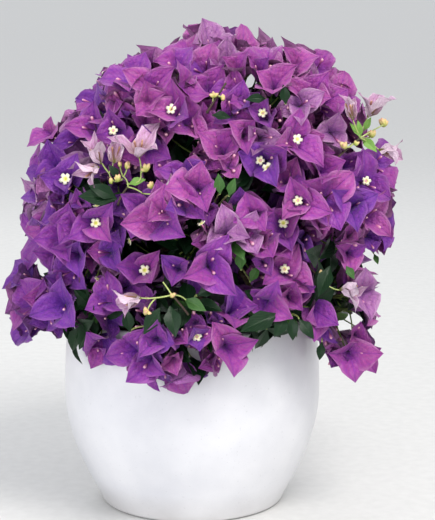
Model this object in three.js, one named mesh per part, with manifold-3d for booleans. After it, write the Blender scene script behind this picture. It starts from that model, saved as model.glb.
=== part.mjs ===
// A bougainvillea bush in a round white pot, in millimetres, with +Z up.
// The origin is the middle of the pot's flat underside, and -Y is the side that is seen first.
//
// One short woody stem stands on the soil. Boughs leave it and each ends at a mass of its own.
// The crown is a set of balls in rings: every ball is the space of one mass, and where two balls
// meet, the plane through their seam parts them. In each mass a stem divides into branches, and
// these into stalks that each hold one spray, which is three papery bracts or three leaves.
import * as THREE from "three";
import { mergeVertices } from "three/addons/utils/BufferGeometryUtils.js";
import Module from "manifold-3d";

const wasm = await Module();
wasm.setup();

const clearance = 0.3; // between any two solids that would touch

const pot = {
  height: 184,
  footRadius: 86,
  footBevel: 4,
  bellyRadius: 122,
  bellyHeight: 108,
  rimRadius: 117,
  lipRadius: 4,
  wall: 8,
  floor: 10,
  sides: 32,
  profileSteps: 4,
};
const soil = { drop: 18, slope: 5, flatRadius: 22 };

const trunk = {
  height: 112,
  baseRadius: 9.5,
  tipRadius: 5,
  flare: 4.5,
  flareHeight: 9,
  sway: 3.5,
  sides: 8,
  steps: 8,
};

// The middle of the crown, from which the masses look outwards.
const crownCore = new THREE.Vector3(12, 0, pot.height + 92);

// Rings of masses, from the top of the crown to the sprays that hang over the rim. Above is the
// height of the balls over the rim. Out is how far their middles lie from the ring's own axis,
// which stands to the +X side of the pot's by shift, and first is the azimuth of the first.
const rings = [
  { name: "top", kind: "blossom", count: 1, first: 0, out: 0, above: 191, radius: 88, shift: 30 },
  { name: "upper", kind: "blossom", count: 5, first: 18, out: 80, above: 178, radius: 78, shift: 20 },
  { name: "middle", kind: "blossom", count: 7, first: 13, out: 104, above: 98, radius: 84, shift: 13 },
  { name: "hanging", kind: "blossom", count: 5, first: 262, out: 133, above: 13, radius: 65, shift: 11 },
  { name: "skirt", kind: "foliage", count: 5, first: 298, out: 123, above: 21, radius: 62, shift: 8 },
];
// Sprays that a mass takes if it has room, and the side branches of its stem that hold them.
const fill = {
  top: { sprays: 11, branches: 3 },
  upper: { sprays: 11, branches: 3 },
  middle: { sprays: 12, branches: 3 },
  hanging: { sprays: 9, branches: 2 },
  skirt: { sprays: 8, branches: 2 },
};
// Where each ring's boughs leave the limb that carries them, as a share of that limb's length,
// with stagger less for each next one as far as half the ring, and the same again for the rest.
// Rise is the share of the climb that a bough has made at its bend; over 1 it arches and droops.
const boughRules = {
  top: { carrier: "trunk", share: 1, stagger: 0, baseRadius: 4.2, tipRadius: 2.6, rise: 0.5 },
  upper: { carrier: "trunk", share: 0.92, stagger: 0.11, baseRadius: 3.6, tipRadius: 2.4, rise: 0.4 },
  middle: { carrier: "trunk", share: 0.56, stagger: 0.11, baseRadius: 4, tipRadius: 2.6, rise: 0.4 },
  hanging: { carrier: "middle", share: 0.6, stagger: 0, baseRadius: 2.9, tipRadius: 2.1, rise: 1.15 },
  skirt: { carrier: "middle", share: 0.42, stagger: 0, baseRadius: 2.6, tipRadius: 2, rise: 1.2 },
};
// Bend is the share of the way out at which a bough bends, arch how far a drooping one rises over
// its higher end, and nudge how far along its carrier it moves when it would meet another.
const bough = { sides: 5, steps: 4, tipBack: 0.42, bend: 0.42, arch: 6, nudge: 0.035, tries: 12 };

// A spray is a whorl of folded blades on a stalk. Cup is the angle by which the blades rise.
const sprays = {
  blossom: { blades: 3, length: 39, width: 37, shoulder: 0.45, notch: 9, hub: 2.4, fold: 4, cup: 18 },
  foliage: { blades: 3, length: 38, width: 24, shoulder: 0.45, notch: 6, hub: 2.2, fold: 3, cup: 6 },
};
// Radii of the three-sided wood in a mass, from the root to the end of each kind. The stem ends
// hubOut of the ball's radius past its middle, and a branch goes reach of the way to its sprays.
// Both shed what they carry along the outer share of their length.
const wood = {
  stem: [4, 3.4],
  branch: [1.6, 2.8],
  stalk: [1.15, 1.3],
  hubOut: 0.05,
  reach: 0.55,
  stemShare: 0.7,
  branchShare: 0.6,
};
// How a mass finds room for its sprays: spots a gap apart over the open part of the ball are tried
// in turn, the one farthest from the sprays so far first, at each size, depth under the ball and
// turn about the stalk. Spots that face more than back into the crown are left out.
const search = {
  gap: 18,
  openAt: 0.9,
  back: -0.3,
  sizes: [1, 0.86, 0.74],
  depths: [2, 8, 15, 23, 32],
  turns: 5,
  tilt: 0.3,
};
const seed = 20;

// Small tools

const up = new THREE.Vector3(0, 0, 1);

function seededRandom(start) {
  let state = start >>> 0;
  return () => {
    state = (state + 0x6d2b79f5) >>> 0;
    let t = Math.imul(state ^ (state >>> 15), 1 | state);
    t = (t + Math.imul(t ^ (t >>> 7), 61 | t)) ^ t;
    return ((t ^ (t >>> 14)) >>> 0) / 4294967296;
  };
}

function solidFrom(geometry) {
  const bare = geometry.clone();
  bare.deleteAttribute("normal");
  bare.deleteAttribute("uv");
  const merged = mergeVertices(bare, 1e-4);
  return new wasm.Manifold(
    new wasm.Mesh({
      numProp: 3,
      vertProperties: new Float32Array(merged.attributes.position.array),
      triVerts: new Uint32Array(merged.index.array),
    }),
  );
}

function geometryFrom(solid) {
  const mesh = solid.getMesh();
  const geometry = new THREE.BufferGeometry();
  geometry.setAttribute("position", new THREE.BufferAttribute(mesh.vertProperties, 3));
  geometry.setIndex(new THREE.BufferAttribute(mesh.triVerts, 1));
  geometry.computeVertexNormals();
  return geometry;
}

function closedGeometry(points, triangles) {
  const geometry = new THREE.BufferGeometry().setFromPoints(points);
  geometry.setIndex(triangles.flat());
  return geometry;
}

// The biggest piece of a fused solid. A hollow that fusing has sealed is a piece turned inside
// out, so leaving it behind fills it.
function biggestPiece(solid) {
  return solid.decompose().reduce((best, piece) => (piece.volume() > best.volume() ? piece : best));
}

// A round limb along a curve, whose radius follows radiusAt(share of its length), grown by extra
// all round and at both ends.
function limbSolid(curve, radiusAt, sides, steps, extra = 0) {
  const frames = curve.computeFrenetFrames(steps);
  const points = [];
  const triangles = [];
  for (let i = 0; i <= steps; i++) {
    const middle = curve.getPointAt(i / steps);
    const radius = radiusAt(i / steps) + extra;
    if (i === 0) middle.addScaledVector(frames.tangents[i], -extra);
    if (i === steps) middle.addScaledVector(frames.tangents[i], extra);
    for (let k = 0; k < sides; k++) {
      const angle = (2 * Math.PI * k) / sides;
      points.push(
        middle
          .clone()
          .addScaledVector(frames.normals[i], radius * Math.cos(angle))
          .addScaledVector(frames.binormals[i], radius * Math.sin(angle)),
      );
    }
  }
  for (let i = 0; i < steps; i++) {
    for (let k = 0; k < sides; k++) {
      const a = i * sides + k;
      const b = i * sides + ((k + 1) % sides);
      triangles.push([a, b, b + sides], [a, b + sides, a + sides]);
    }
  }
  const last = steps * sides;
  for (let k = 1; k < sides - 1; k++) {
    triangles.push([0, k + 1, k], [last, last + k, last + k + 1]);
  }
  return solidFrom(closedGeometry(points, triangles));
}

// Pot and soil

function potRadiusAt(height) {
  const { footRadius, bellyRadius, bellyHeight, rimRadius } = pot;
  if (height < bellyHeight) {
    const rise = Math.sin((Math.PI / 2) * (height / bellyHeight));
    return footRadius + (bellyRadius - footRadius) * rise;
  }
  const share = (height - bellyHeight) / (pot.height - bellyHeight);
  return bellyRadius - (bellyRadius - rimRadius) * share ** 2;
}

function heightsBetween(low, high, steps) {
  return Array.from({ length: steps + 1 }, (_, i) => low + ((high - low) * i) / steps);
}

function lathe(profile) {
  const points = profile.map(([radius, height]) => new THREE.Vector2(radius, height));
  return new THREE.LatheGeometry(points, pot.sides).rotateX(Math.PI / 2);
}

const lipHeight = pot.height - pot.lipRadius;
const innerHeights = heightsBetween(pot.floor, lipHeight, pot.profileSteps);

// The inner wall is straight between its heights, and so is the soil that lies against it.
function innerRadiusAt(height) {
  const next = Math.max(1, innerHeights.findIndex((z) => z >= height));
  const [low, high] = [innerHeights[next - 1], innerHeights[next]];
  const [lowRadius, highRadius] = [low, high].map((z) => potRadiusAt(z) - pot.wall);
  return THREE.MathUtils.mapLinear(height, low, high, lowRadius, highRadius);
}

function potSolid() {
  const { footRadius, footBevel, lipRadius, floor, profileSteps } = pot;
  const outside = heightsBetween(footBevel, lipHeight, profileSteps + 2).map((z) => [potRadiusAt(z), z]);
  const lipMiddle = potRadiusAt(lipHeight) - lipRadius;
  const lip = [45, 90, 135].map((degrees) => {
    const angle = THREE.MathUtils.degToRad(degrees);
    return [lipMiddle + lipRadius * Math.cos(angle), lipHeight + lipRadius * Math.sin(angle)];
  });
  const inside = [...innerHeights].reverse().map((z) => [innerRadiusAt(z), z]);
  return solidFrom(
    lathe([[0, 0], [footRadius - footBevel, 0], ...outside, ...lip, ...inside, [0, floor]]),
  );
}

const soilTop = pot.height - soil.drop;

function soilSolid() {
  const foot = pot.floor + clearance;
  const edge = soilTop - soil.slope;
  const heights = [foot, ...innerHeights.filter((z) => z > foot && z < edge), edge];
  const side = heights.map((z) => [innerRadiusAt(z) - 1.5 * clearance, z]);
  return solidFrom(lathe([[0, foot], ...side, [soil.flatRadius, soilTop], [0, soilTop]]));
}

// The pot with all that it holds, grown by extra: no leaf comes inside.
function potSpace(extra) {
  const heights = heightsBetween(0, pot.height + extra, 2 * pot.profileSteps);
  const side = heights.map((z) => [potRadiusAt(Math.min(z, pot.height)) + extra, z]);
  return solidFrom(lathe([[0, 0], ...side, [0, pot.height + extra]]));
}

// Spaces of the masses

function makeMasses() {
  return rings.flatMap((ring) =>
    Array.from({ length: ring.count }, (_, index) => {
      const azimuth = THREE.MathUtils.degToRad(ring.first + (360 * index) / ring.count);
      const middle = new THREE.Vector3(
        ring.shift + ring.out * Math.cos(azimuth),
        ring.out * Math.sin(azimuth),
        pot.height + ring.above,
      );
      return {
        name: ring.count > 1 ? `${ring.name}_${ring.kind}_${index + 1}` : `${ring.name}_${ring.kind}`,
        ring,
        index,
        azimuth,
        middle,
        radius: ring.radius,
        outwards: middle.clone().sub(crownCore).normalize(),
      };
    }),
  );
}

const masses = makeMasses();

// How far a point lies inside the plane that parts two balls, on the first one's side.
function insideSeam(point, mass, other) {
  const apart = mass.middle.distanceTo(other.middle);
  const ownPower = point.distanceToSquared(mass.middle) - mass.radius ** 2;
  const otherPower = point.distanceToSquared(other.middle) - other.radius ** 2;
  return (otherPower - ownPower) / (2 * apart);
}

function inOwnSpace(point, mass, margin) {
  if (point.distanceTo(mass.middle) > mass.radius) return false;
  return masses.every((other) => other === mass || insideSeam(point, mass, other) > margin);
}

// Limbs

const trunkFoot = soilTop + clearance;
const trunkCurve = new THREE.CatmullRomCurve3(
  [0, 0.3, 0.65, 1].map((share) => {
    const turn = share * 2 * Math.PI;
    return new THREE.Vector3(
      trunk.sway * Math.sin(turn) + 2 * trunk.sway * share,
      trunk.sway * (Math.cos(turn) - 1) * 0.5,
      trunkFoot + trunk.height * share,
    );
  }),
);

function trunkRadiusAt(share) {
  const taper = trunk.baseRadius + (trunk.tipRadius - trunk.baseRadius) * share ** 0.8;
  return taper + trunk.flare * Math.exp((-share * trunk.height) / trunk.flareHeight);
}

function trunkSolid(extra = 0) {
  const solid = limbSolid(trunkCurve, trunkRadiusAt, trunk.sides, trunk.steps, extra);
  return solid.trimByPlane([0, 0, 1], trunkFoot);
}

function boughTip(mass) {
  return mass.middle.clone().addScaledVector(mass.outwards, -bough.tipBack * mass.radius);
}

function carrierOf(mass, limbs) {
  const rule = boughRules[mass.ring.name];
  if (rule.carrier === "trunk") return limbs[0];
  const near = limbs.filter((limb) => limb.ringName === rule.carrier);
  const turnFrom = (limb) => Math.abs(Math.sin((limb.azimuth - mass.azimuth) / 2));
  return near.reduce((best, limb) => (turnFrom(limb) < turnFrom(best) ? limb : best));
}

function boughCurve(mass, carrier, share) {
  const rule = boughRules[mass.ring.name];
  const start = carrier.curve.getPointAt(Math.min(1, share));
  const end = boughTip(mass);
  const middle = start.clone().lerp(end, bough.bend);
  const climb = start.z + (end.z - start.z) * rule.rise;
  middle.z = rule.rise > 1 ? Math.max(start.z, end.z) + bough.arch : climb;
  return new THREE.QuadraticBezierCurve3(start, middle, end);
}

// Boughs are tried a little further along their carrier until they clear the ones before.
function growLimbs() {
  const limbs = [
    {
      name: "trunk",
      ringName: "trunk",
      curve: trunkCurve,
      solid: trunkSolid(),
      grown: trunkSolid(clearance),
    },
  ];
  for (const mass of masses) {
    const rule = boughRules[mass.ring.name];
    const carrier = carrierOf(mass, limbs);
    const level = mass.index % Math.max(1, mass.ring.count / 2);
    const first = rule.share - rule.stagger * level;
    const radiusAt = (share) => rule.baseRadius + (rule.tipRadius - rule.baseRadius) * share;
    let made = null;
    for (let tries = 0; tries < bough.tries && !made; tries++) {
      const nudge = bough.nudge * Math.ceil(tries / 2) * (tries % 2 ? -1 : 1);
      const curve = boughCurve(mass, carrier, first + nudge);
      const uncut = limbSolid(curve, radiusAt, bough.sides, bough.steps);
      const solid = biggestPiece(uncut.subtract(carrier.grown));
      const meets = (limb) => limb !== carrier && !limb.grown.intersect(solid).isEmpty();
      if (!limbs.some(meets)) made = { curve, solid };
    }
    if (!made) throw new Error(`${mass.name}: no clear place for its bough`);
    const grown = limbSolid(made.curve, radiusAt, bough.sides, bough.steps, clearance);
    limbs.push({
      name: `${mass.ring.name}_bough${mass.ring.count > 1 ? `_${mass.index + 1}` : ""}`,
      ringName: mass.ring.name,
      azimuth: mass.azimuth,
      grown: grown.subtract(carrier.grown),
      ...made,
    });
  }
  return limbs;
}

// Sprays and twigs

// Three corners in the XY plane.
function threeCorners(radius) {
  return [-1, 1, 3].map((k) => {
    const angle = (k * Math.PI) / 3;
    return new THREE.Vector3(radius * Math.cos(angle), radius * Math.sin(angle), 0);
  });
}

const prismSides = [0, 1, 2].flatMap((k) => {
  const next = (k + 1) % 3;
  return [
    [k, next, next + 3],
    [k, next + 3, k + 3],
  ];
});

// A straight three-sided twig.
function twigSolid(from, to, [startRadius, endRadius]) {
  const turned = new THREE.Quaternion().setFromUnitVectors(up, to.clone().sub(from).normalize());
  const start = threeCorners(startRadius).map((point) => point.applyQuaternion(turned).add(from));
  const end = threeCorners(endRadius).map((point) => point.applyQuaternion(turned).add(to));
  return solidFrom(closedGeometry([...start, ...end], [[0, 2, 1], [3, 4, 5], ...prismSides]));
}

// The rim of a whorl that opens towards +Z: four points for each blade.
function whorlRim({ blades, length, width, shoulder, notch, fold, cup }, size) {
  const cupAngle = THREE.MathUtils.degToRad(cup);
  const reach = size * length * Math.cos(cupAngle);
  const at = (angle, along, aside, lift) =>
    new THREE.Vector3(
      along * Math.cos(angle) - aside * Math.sin(angle),
      along * Math.sin(angle) + aside * Math.cos(angle),
      along * Math.tan(cupAngle) + lift,
    );
  const half = Math.PI / blades;
  const side = (size * width) / 2;
  return Array.from({ length: blades }, (_, k) => 2 * half * k).flatMap((angle) => [
    at(angle - half, notch, 0, 0),
    at(angle, reach * shoulder, -side, fold),
    at(angle, reach, 0, 0),
    at(angle, reach * shoulder, side, fold),
  ]);
}

// A whorl with its stalk, in one closed skin: the stalk's three corners under the hub are the
// middle of the whorl's back. Turned takes +Z to where the whorl faces.
function spraySolid(shape, size, from, spot, turned) {
  const facing = up.clone().applyQuaternion(turned);
  const bend = new THREE.Quaternion().setFromUnitVectors(facing, spot.clone().sub(from).normalize());
  const root = threeCorners(wood.stalk[0]).map((point) =>
    point.applyQuaternion(turned).applyQuaternion(bend).add(from),
  );
  const back = threeCorners(wood.stalk[1]).map((point) =>
    point.setZ(-shape.hub).applyQuaternion(turned).add(spot),
  );
  const rim = whorlRim(shape, size).map((point) => point.applyQuaternion(turned).add(spot));
  const front = 6;
  const firstOnRim = 7;
  const triangles = [[0, 2, 1], ...prismSides];
  const perCorner = rim.length / 3;
  const cornerOf = (k) => 3 + (Math.round((k + 0.5) / perCorner) % 3);
  for (let k = 0; k < rim.length; k++) {
    const next = (k + 1) % rim.length;
    triangles.push([front, firstOnRim + k, firstOnRim + next]);
    triangles.push([cornerOf(k), firstOnRim + next, firstOnRim + k]);
    if (cornerOf(next) !== cornerOf(k)) triangles.push([cornerOf(k), cornerOf(next), firstOnRim + next]);
  }
  return solidFrom(closedGeometry([...root, ...back, spot, ...rim], triangles));
}

function boxOf(solid) {
  const { min, max } = solid.boundingBox();
  return new THREE.Box3(new THREE.Vector3(...min), new THREE.Vector3(...max));
}

function crosses(solid, others) {
  const box = boxOf(solid);
  return others.some((other) => other.box.intersectsBox(box) && !other.solid.intersect(solid).isEmpty());
}

// Directions from the middle of a mass's ball to the part of it that no other ball covers.
function openDirections(mass) {
  const count = Math.round((4 * Math.PI * mass.radius ** 2) / search.gap ** 2);
  const directions = [];
  for (let k = 0; k < count; k++) {
    const height = 1 - (2 * k + 1) / count;
    const ring = Math.sqrt(1 - height ** 2);
    const angle = k * Math.PI * (3 - Math.sqrt(5)) + mass.azimuth;
    const facing = new THREE.Vector3(ring * Math.cos(angle), ring * Math.sin(angle), height);
    const surface = mass.middle.clone().addScaledVector(facing, mass.radius * search.openAt);
    const faces = facing.dot(mass.outwards) > search.back;
    if (faces && inOwnSpace(surface, mass, 0)) directions.push(facing);
  }
  return directions;
}

// The biggest and outermost whorl in this direction that keeps to the space and crosses nothing.
function findRoom(mass, direction, random, inTheWay) {
  const shape = sprays[mass.ring.kind];
  const facing = direction.clone();
  for (const axis of ["x", "y", "z"]) facing[axis] += search.tilt * (2 * random() - 1);
  const turned = new THREE.Quaternion().setFromUnitVectors(up, facing.normalize());
  const spin = random() * 2 * Math.PI;
  const rise = shape.length * Math.sin(THREE.MathUtils.degToRad(shape.cup));
  for (const size of search.sizes) {
    for (const depth of search.depths) {
      const spot = mass.middle.clone().addScaledVector(direction, mass.radius - rise - depth);
      const under = spot.clone().addScaledVector(facing, -2 * shape.hub);
      for (let turn = 0; turn < search.turns; turn++) {
        const angle = spin + (turn * 2 * Math.PI) / (search.turns * shape.blades);
        const spun = turned.clone().multiply(new THREE.Quaternion().setFromAxisAngle(up, angle));
        const points = whorlRim(shape, size).map((point) => point.applyQuaternion(spun).add(spot));
        if (![spot, ...points].every((point) => inOwnSpace(point, mass, 2 * clearance))) continue;
        const solid = spraySolid(shape, size, under, spot, spun);
        if (!crosses(solid, inTheWay)) return { size, spot, turned: spun, solid, box: boxOf(solid) };
      }
    }
  }
  return null;
}

function placeSprays(mass, limbs, random) {
  const directions = openDirections(mass);
  const placed = [];
  const farFromPlaced = (direction) =>
    placed.length
      ? Math.min(...placed.map((spray) => spray.direction.distanceTo(direction)))
      : direction.dot(mass.outwards);
  while (directions.length && placed.length < fill[mass.ring.name].sprays) {
    const best = directions.reduce((a, b) => (farFromPlaced(b) > farFromPlaced(a) ? b : a));
    directions.splice(directions.indexOf(best), 1);
    const spray = findRoom(mass, best, random, [...limbs, ...placed]);
    if (spray) placed.push({ ...spray, direction: best });
  }
  return placed;
}

function middleOf(points) {
  return points
    .reduce((sum, point) => sum.add(point), new THREE.Vector3())
    .divideScalar(points.length);
}

// The sprays fall into as many groups as the mass has side branches, by their turn round the
// stem. Branches leave the stem one above the other, and stalks leave the branches in the same way.
function massSolid(mass, limbs) {
  const random = seededRandom(seed * 1000 + masses.indexOf(mass) * 17);
  const shape = sprays[mass.ring.kind];
  const placed = placeSprays(mass, limbs, random);
  const level = new THREE.Quaternion().setFromUnitVectors(mass.outwards, up);
  for (const spray of placed) {
    const flat = spray.spot.clone().sub(mass.middle).applyQuaternion(level);
    spray.turn = Math.atan2(flat.y, flat.x);
  }
  placed.sort((a, b) => a.turn - b.turn);
  const start = boughTip(mass);
  const hub = mass.middle.clone().addScaledVector(mass.outwards, wood.hubOut * mass.radius);
  const pieces = [twigSolid(start, hub, wood.stem)];
  const { branches } = fill[mass.ring.name];
  const perBranch = placed.length / branches;
  for (let branch = 0; branch < branches; branch++) {
    const group = placed.slice(Math.round(branch * perBranch), Math.round((branch + 1) * perBranch));
    if (!group.length) continue;
    const root = start.clone().lerp(hub, 1 - (wood.stemShare * (branch + 0.3)) / branches);
    const end = root.clone().lerp(middleOf(group.map((spray) => spray.spot)), wood.reach);
    pieces.push(twigSolid(root, end, wood.branch));
    group.forEach((spray, k) => {
      const from = root.clone().lerp(end, 1 - (wood.branchShare * (k + 0.4)) / group.length);
      const solid = spraySolid(shape, spray.size, from, spray.spot, spray.turned);
      if (!crosses(solid, limbs)) pieces.push(solid);
    });
  }
  const near = limbs.filter((limb) => limb.box.intersectsBox(boxOf(pieces[0])));
  return biggestPiece(
    wasm.Manifold.union(pieces).subtract(wasm.Manifold.union(near.map((limb) => limb.solid))),
  );
}

// The whole plant

function material(color, roughness) {
  return new THREE.MeshStandardMaterial({ color, roughness, metalness: 0, flatShading: true });
}

const finishes = {
  glaze: material(0xe6e5e8, 0.35),
  soil: material(0x3b2a20, 0.95),
  bark: material(0x6d5a48, 0.9),
  blossom: material(0x8e3a9e, 0.65),
  foliage: material(0x2f5a2a, 0.5),
};

function buildPlant() {
  const plant = new THREE.Group();
  const add = (name, solid, finish) => {
    const mesh = new THREE.Mesh(geometryFrom(solid), finish);
    mesh.name = name;
    plant.add(mesh);
  };
  add("pot", potSolid(), finishes.glaze);
  add("soil", soilSolid(), finishes.soil);
  const limbs = growLimbs();
  limbs.forEach((limb) => add(limb.name, limb.solid, finishes.bark));
  const keepClear = [potSpace(4 * clearance), ...limbs.map((limb) => limb.grown)].map((solid) => ({
    solid,
    box: boxOf(solid),
  }));
  masses.forEach((mass) => add(mass.name, massSolid(mass, keepClear), finishes[mass.ring.kind]));
  return plant;
}

export default buildPlant();
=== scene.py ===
import math
import random

import bpy
import numpy as np
from mathutils import Matrix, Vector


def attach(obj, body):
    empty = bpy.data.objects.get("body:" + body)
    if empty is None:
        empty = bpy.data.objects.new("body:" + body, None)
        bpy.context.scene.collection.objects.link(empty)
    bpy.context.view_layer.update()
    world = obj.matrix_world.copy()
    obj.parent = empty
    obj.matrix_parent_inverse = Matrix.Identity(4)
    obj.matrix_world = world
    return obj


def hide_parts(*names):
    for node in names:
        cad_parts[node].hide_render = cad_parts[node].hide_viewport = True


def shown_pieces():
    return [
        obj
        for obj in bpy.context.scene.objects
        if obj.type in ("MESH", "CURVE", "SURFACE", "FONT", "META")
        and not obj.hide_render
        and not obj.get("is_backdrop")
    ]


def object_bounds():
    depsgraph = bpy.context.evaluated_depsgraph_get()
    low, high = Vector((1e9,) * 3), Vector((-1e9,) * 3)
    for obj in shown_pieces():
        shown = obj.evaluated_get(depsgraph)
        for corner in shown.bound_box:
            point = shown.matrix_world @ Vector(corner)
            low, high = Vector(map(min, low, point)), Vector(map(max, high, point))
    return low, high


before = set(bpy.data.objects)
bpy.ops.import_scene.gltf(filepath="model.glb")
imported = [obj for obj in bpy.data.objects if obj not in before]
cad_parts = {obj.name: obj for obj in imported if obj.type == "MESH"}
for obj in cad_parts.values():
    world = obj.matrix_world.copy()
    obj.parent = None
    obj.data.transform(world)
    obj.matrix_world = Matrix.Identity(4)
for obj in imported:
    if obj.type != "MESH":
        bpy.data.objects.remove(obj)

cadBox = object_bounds()
mm = 0.001  # lengths below are in millimetres, and become metres where a mesh is made

# Where the picture was taken from. rimRow is the row of the frame on which the pot's rim falls.
picture = {
    "width": 435,
    "height": 520,
    "distance": 1600,
    "elevation": 10,
    "perPixel": 0.95,
    "axisColumn": 192,
    "rimRow": 310,
    "lower": 8,  # the frame lies this many pixels lower than the photograph's, to take in the foot
    "sensor": 24,
}

potShape = {
    "height": 184,
    "footRadius": 86,
    "footBevel": 4,
    "bellyRadius": 122,
    "bellyHeight": 108,
    "rimRadius": 117,
    "lipRadius": 4,
    "wall": 8,
    "floor": 10,
    "innerFoot": 14,  # how much narrower the floor is inside than the foot
    "innerRise": 6,
    "sides": 128,
    "steps": 26,
    "innerSteps": 12,
    "bevelAngles": (22, 45, 67),
    "lipAngles": range(20, 180, 20),
}

soilShape = {
    "drop": 18,
    "slope": 5,
    "bottom": 60,
    "gap": 0.6,  # to the pot's wall
    "flatRadius": 22,
    "rings": 26,
    "sides": 72,
    "relief": 1.4,
    "waves": 26,
    "calm": (12, 22),  # the relief grows between these radii, round the trunk's foot
    "crumbs": 900,
    "crumbKinds": 4,
    "crumbLumps": (0.7, 1.25),
    "crumbSize": (1.2, 3.4),
    "crumbLight": 1.25,
    "seed": 5,
}

trunkShape = {
    "height": 112,
    "baseRadius": 9.5,
    "tipRadius": 5,
    "flare": 4.5,
    "flareHeight": 9,
    "sway": 3.5,
    "sides": 20,
    "steps": 48,
    "ridges": 0.07,
}

boughShape = {
    "tipBack": 0.42,
    "bend": 0.42,
    "arch": 6,
    "nudge": 0.035,
    "tries": 12,
    "gap": 0.3,
    "carried": 4,  # so many of its first rings may touch other limbs
    "sides": 10,
    "steps": 18,
    "ridges": 0.06,
    "seed": 4,
    "rules": {
        "top": {"carrier": "trunk", "share": 1, "stagger": 0, "radii": (4.2, 2.6), "rise": 0.5},
        "upper": {"carrier": "trunk", "share": 0.92, "stagger": 0.11, "radii": (3.6, 2.4), "rise": 0.4},
        "middle": {"carrier": "trunk", "share": 0.56, "stagger": 0.11, "radii": (4, 2.6), "rise": 0.4},
        "hanging": {"carrier": "middle", "share": 0.6, "stagger": 0, "radii": (2.9, 2.1), "rise": 1.15},
        "skirt": {"carrier": "middle", "share": 0.42, "stagger": 0, "radii": (2.6, 2), "rise": 1.2},
    },
}

# The balls that the crown fills: each ring's first azimuth, how far out and above the rim.
crownShape = {
    "core": (12, 0, 92),
    "potRoom": 1.5,
    "rings": [
        {"name": "top", "kind": "blossom", "count": 1, "first": 0,
         "out": 0, "above": 191, "radius": 88, "shift": 30},
        {"name": "upper", "kind": "blossom", "count": 5, "first": 18,
         "out": 80, "above": 178, "radius": 78, "shift": 20},
        {"name": "middle", "kind": "blossom", "count": 7, "first": 13,
         "out": 104, "above": 98, "radius": 84, "shift": 13},
        {"name": "hanging", "kind": "blossom", "count": 5, "first": 262,
         "out": 133, "above": 13, "radius": 65, "shift": 11},
        {"name": "skirt", "kind": "foliage", "count": 5, "first": 298,
         "out": 123, "above": 21, "radius": 62, "shift": 8},
    ],
}

fullTurn = 6.28


# Small tools

def unit(vector):
    return vector / np.linalg.norm(vector)


def cross(a, b):  # of two single vectors, for which numpy's own is slow
    return np.array([a[1] * b[2] - a[2] * b[1], a[2] * b[0] - a[0] * b[2], a[0] * b[1] - a[1] * b[0]])


def between(draw, low, high):
    return low + (high - low) * draw.random()


def scattered(draw, reach):  # a small step in any direction
    return np.array([between(draw, -reach, reach) for _ in range(3)])


def turnedFrame(axis, spin):  # Z along axis, X turned round it by spin
    helper = np.array([0.0, 0.0, 1.0]) if abs(axis[2]) < 0.9 else np.array([1.0, 0.0, 0.0])
    across = unit(cross(helper, axis))
    third = cross(axis, across)
    outwards = math.cos(spin) * across + math.sin(spin) * third
    return np.column_stack([outwards, cross(axis, outwards), axis])


def frameTowards(axis, direction):  # Z along axis, X as near to the direction as it can be
    outwards = unit(direction - axis * (direction @ axis))
    return np.column_stack([outwards, cross(axis, outwards), axis])


def bladeFrame(goes, face):  # X the way the blade goes, Z as near to its face as it can be
    face = unit(face)
    face = unit(face - goes * (face @ goes))
    return np.column_stack([goes, cross(face, goes), face])


def tippedFrame(matrix, angle):  # tips Z towards X
    c, s = math.cos(angle), math.sin(angle)
    return matrix @ np.array([[c, 0, s], [0, 1, 0], [-s, 0, c]])


def meshFrom(name, points, faces, edges=()):
    mesh = bpy.data.meshes.new(name)
    mesh.from_pydata([tuple(map(float, p)) for p in points], list(edges), faces)
    mesh.update()
    return mesh


def addObject(name, mesh):
    piece = bpy.data.objects.new(name, mesh)
    bpy.context.scene.collection.objects.link(piece)
    return piece


def lathe(profile, sides):  # closed where the radius is 0, with each corner's place on the map
    points, rows = [], []
    for radius, height in profile:
        if radius == 0:
            rows.append([len(points)] * sides)
            points.append((0, 0, height))
            continue
        rows.append(list(range(len(points), len(points) + sides)))
        for k in range(sides):
            angle = 2 * math.pi * k / sides
            points.append((radius * math.cos(angle), radius * math.sin(angle), height))
    travelled = np.cumsum([0] + [math.dist(a, b) for a, b in zip(profile, profile[1:])])
    shares = travelled / travelled[-1]
    faces, corners = [], []
    for i, (low, high) in enumerate(zip(rows, rows[1:])):
        for k in range(sides):
            following = (k + 1) % sides
            loop = [(low[k], k, i), (low[following], k + 1, i)]
            loop += [(high[following], k + 1, i + 1), (high[k], k, i + 1)]
            kept = {}
            for point, around, row in loop:
                kept.setdefault(point, (around / sides, shares[row]))
            faces.append(list(kept))
            corners += kept.values()
    return np.array(points, float), faces, corners


def smoothMesh(name, points, faces, corners=None):
    mesh = meshFrom(name, points * mm, faces)
    if corners is not None:
        mesh.uv_layers.new(name="OFBake").data.foreach_set("uv", np.array(corners, float).ravel())
    mesh.polygons.foreach_set("use_smooth", [True] * len(faces))
    return mesh


# Where things fall in the picture

tilt = math.radians(picture["elevation"])
viewAhead = np.array([0, math.cos(tilt), -math.sin(tilt)])
viewUp = np.array([0, math.sin(tilt), math.cos(tilt)])
viewRight = np.array([1.0, 0, 0])
aim = np.array([
    (picture["width"] / 2 - picture["axisColumn"]) * picture["perPixel"],
    0,
    potShape["height"] + (picture["rimRow"] - picture["height"] / 2) * picture["perPixel"],
])
eye = aim - viewAhead * picture["distance"]


def rayThrough(column, row):  # column and row in the photograph
    right = (column - picture["width"] / 2) * picture["perPixel"]
    above = (picture["height"] / 2 - row + picture["lower"]) * picture["perPixel"]
    return unit(viewAhead * picture["distance"] + viewRight * right + viewUp * above)


def inPhotograph(points):
    apart = np.atleast_2d(points) - eye
    depth = apart @ viewAhead
    scale = picture["distance"] / picture["perPixel"] / depth
    columns = picture["width"] / 2 + apart @ viewRight * scale
    rows = picture["height"] / 2 - apart @ viewUp * scale + picture["lower"]
    return np.column_stack([columns, rows])


# Materials. What depends on the blade's own map reads it by name, so that it can be baked.

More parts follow.
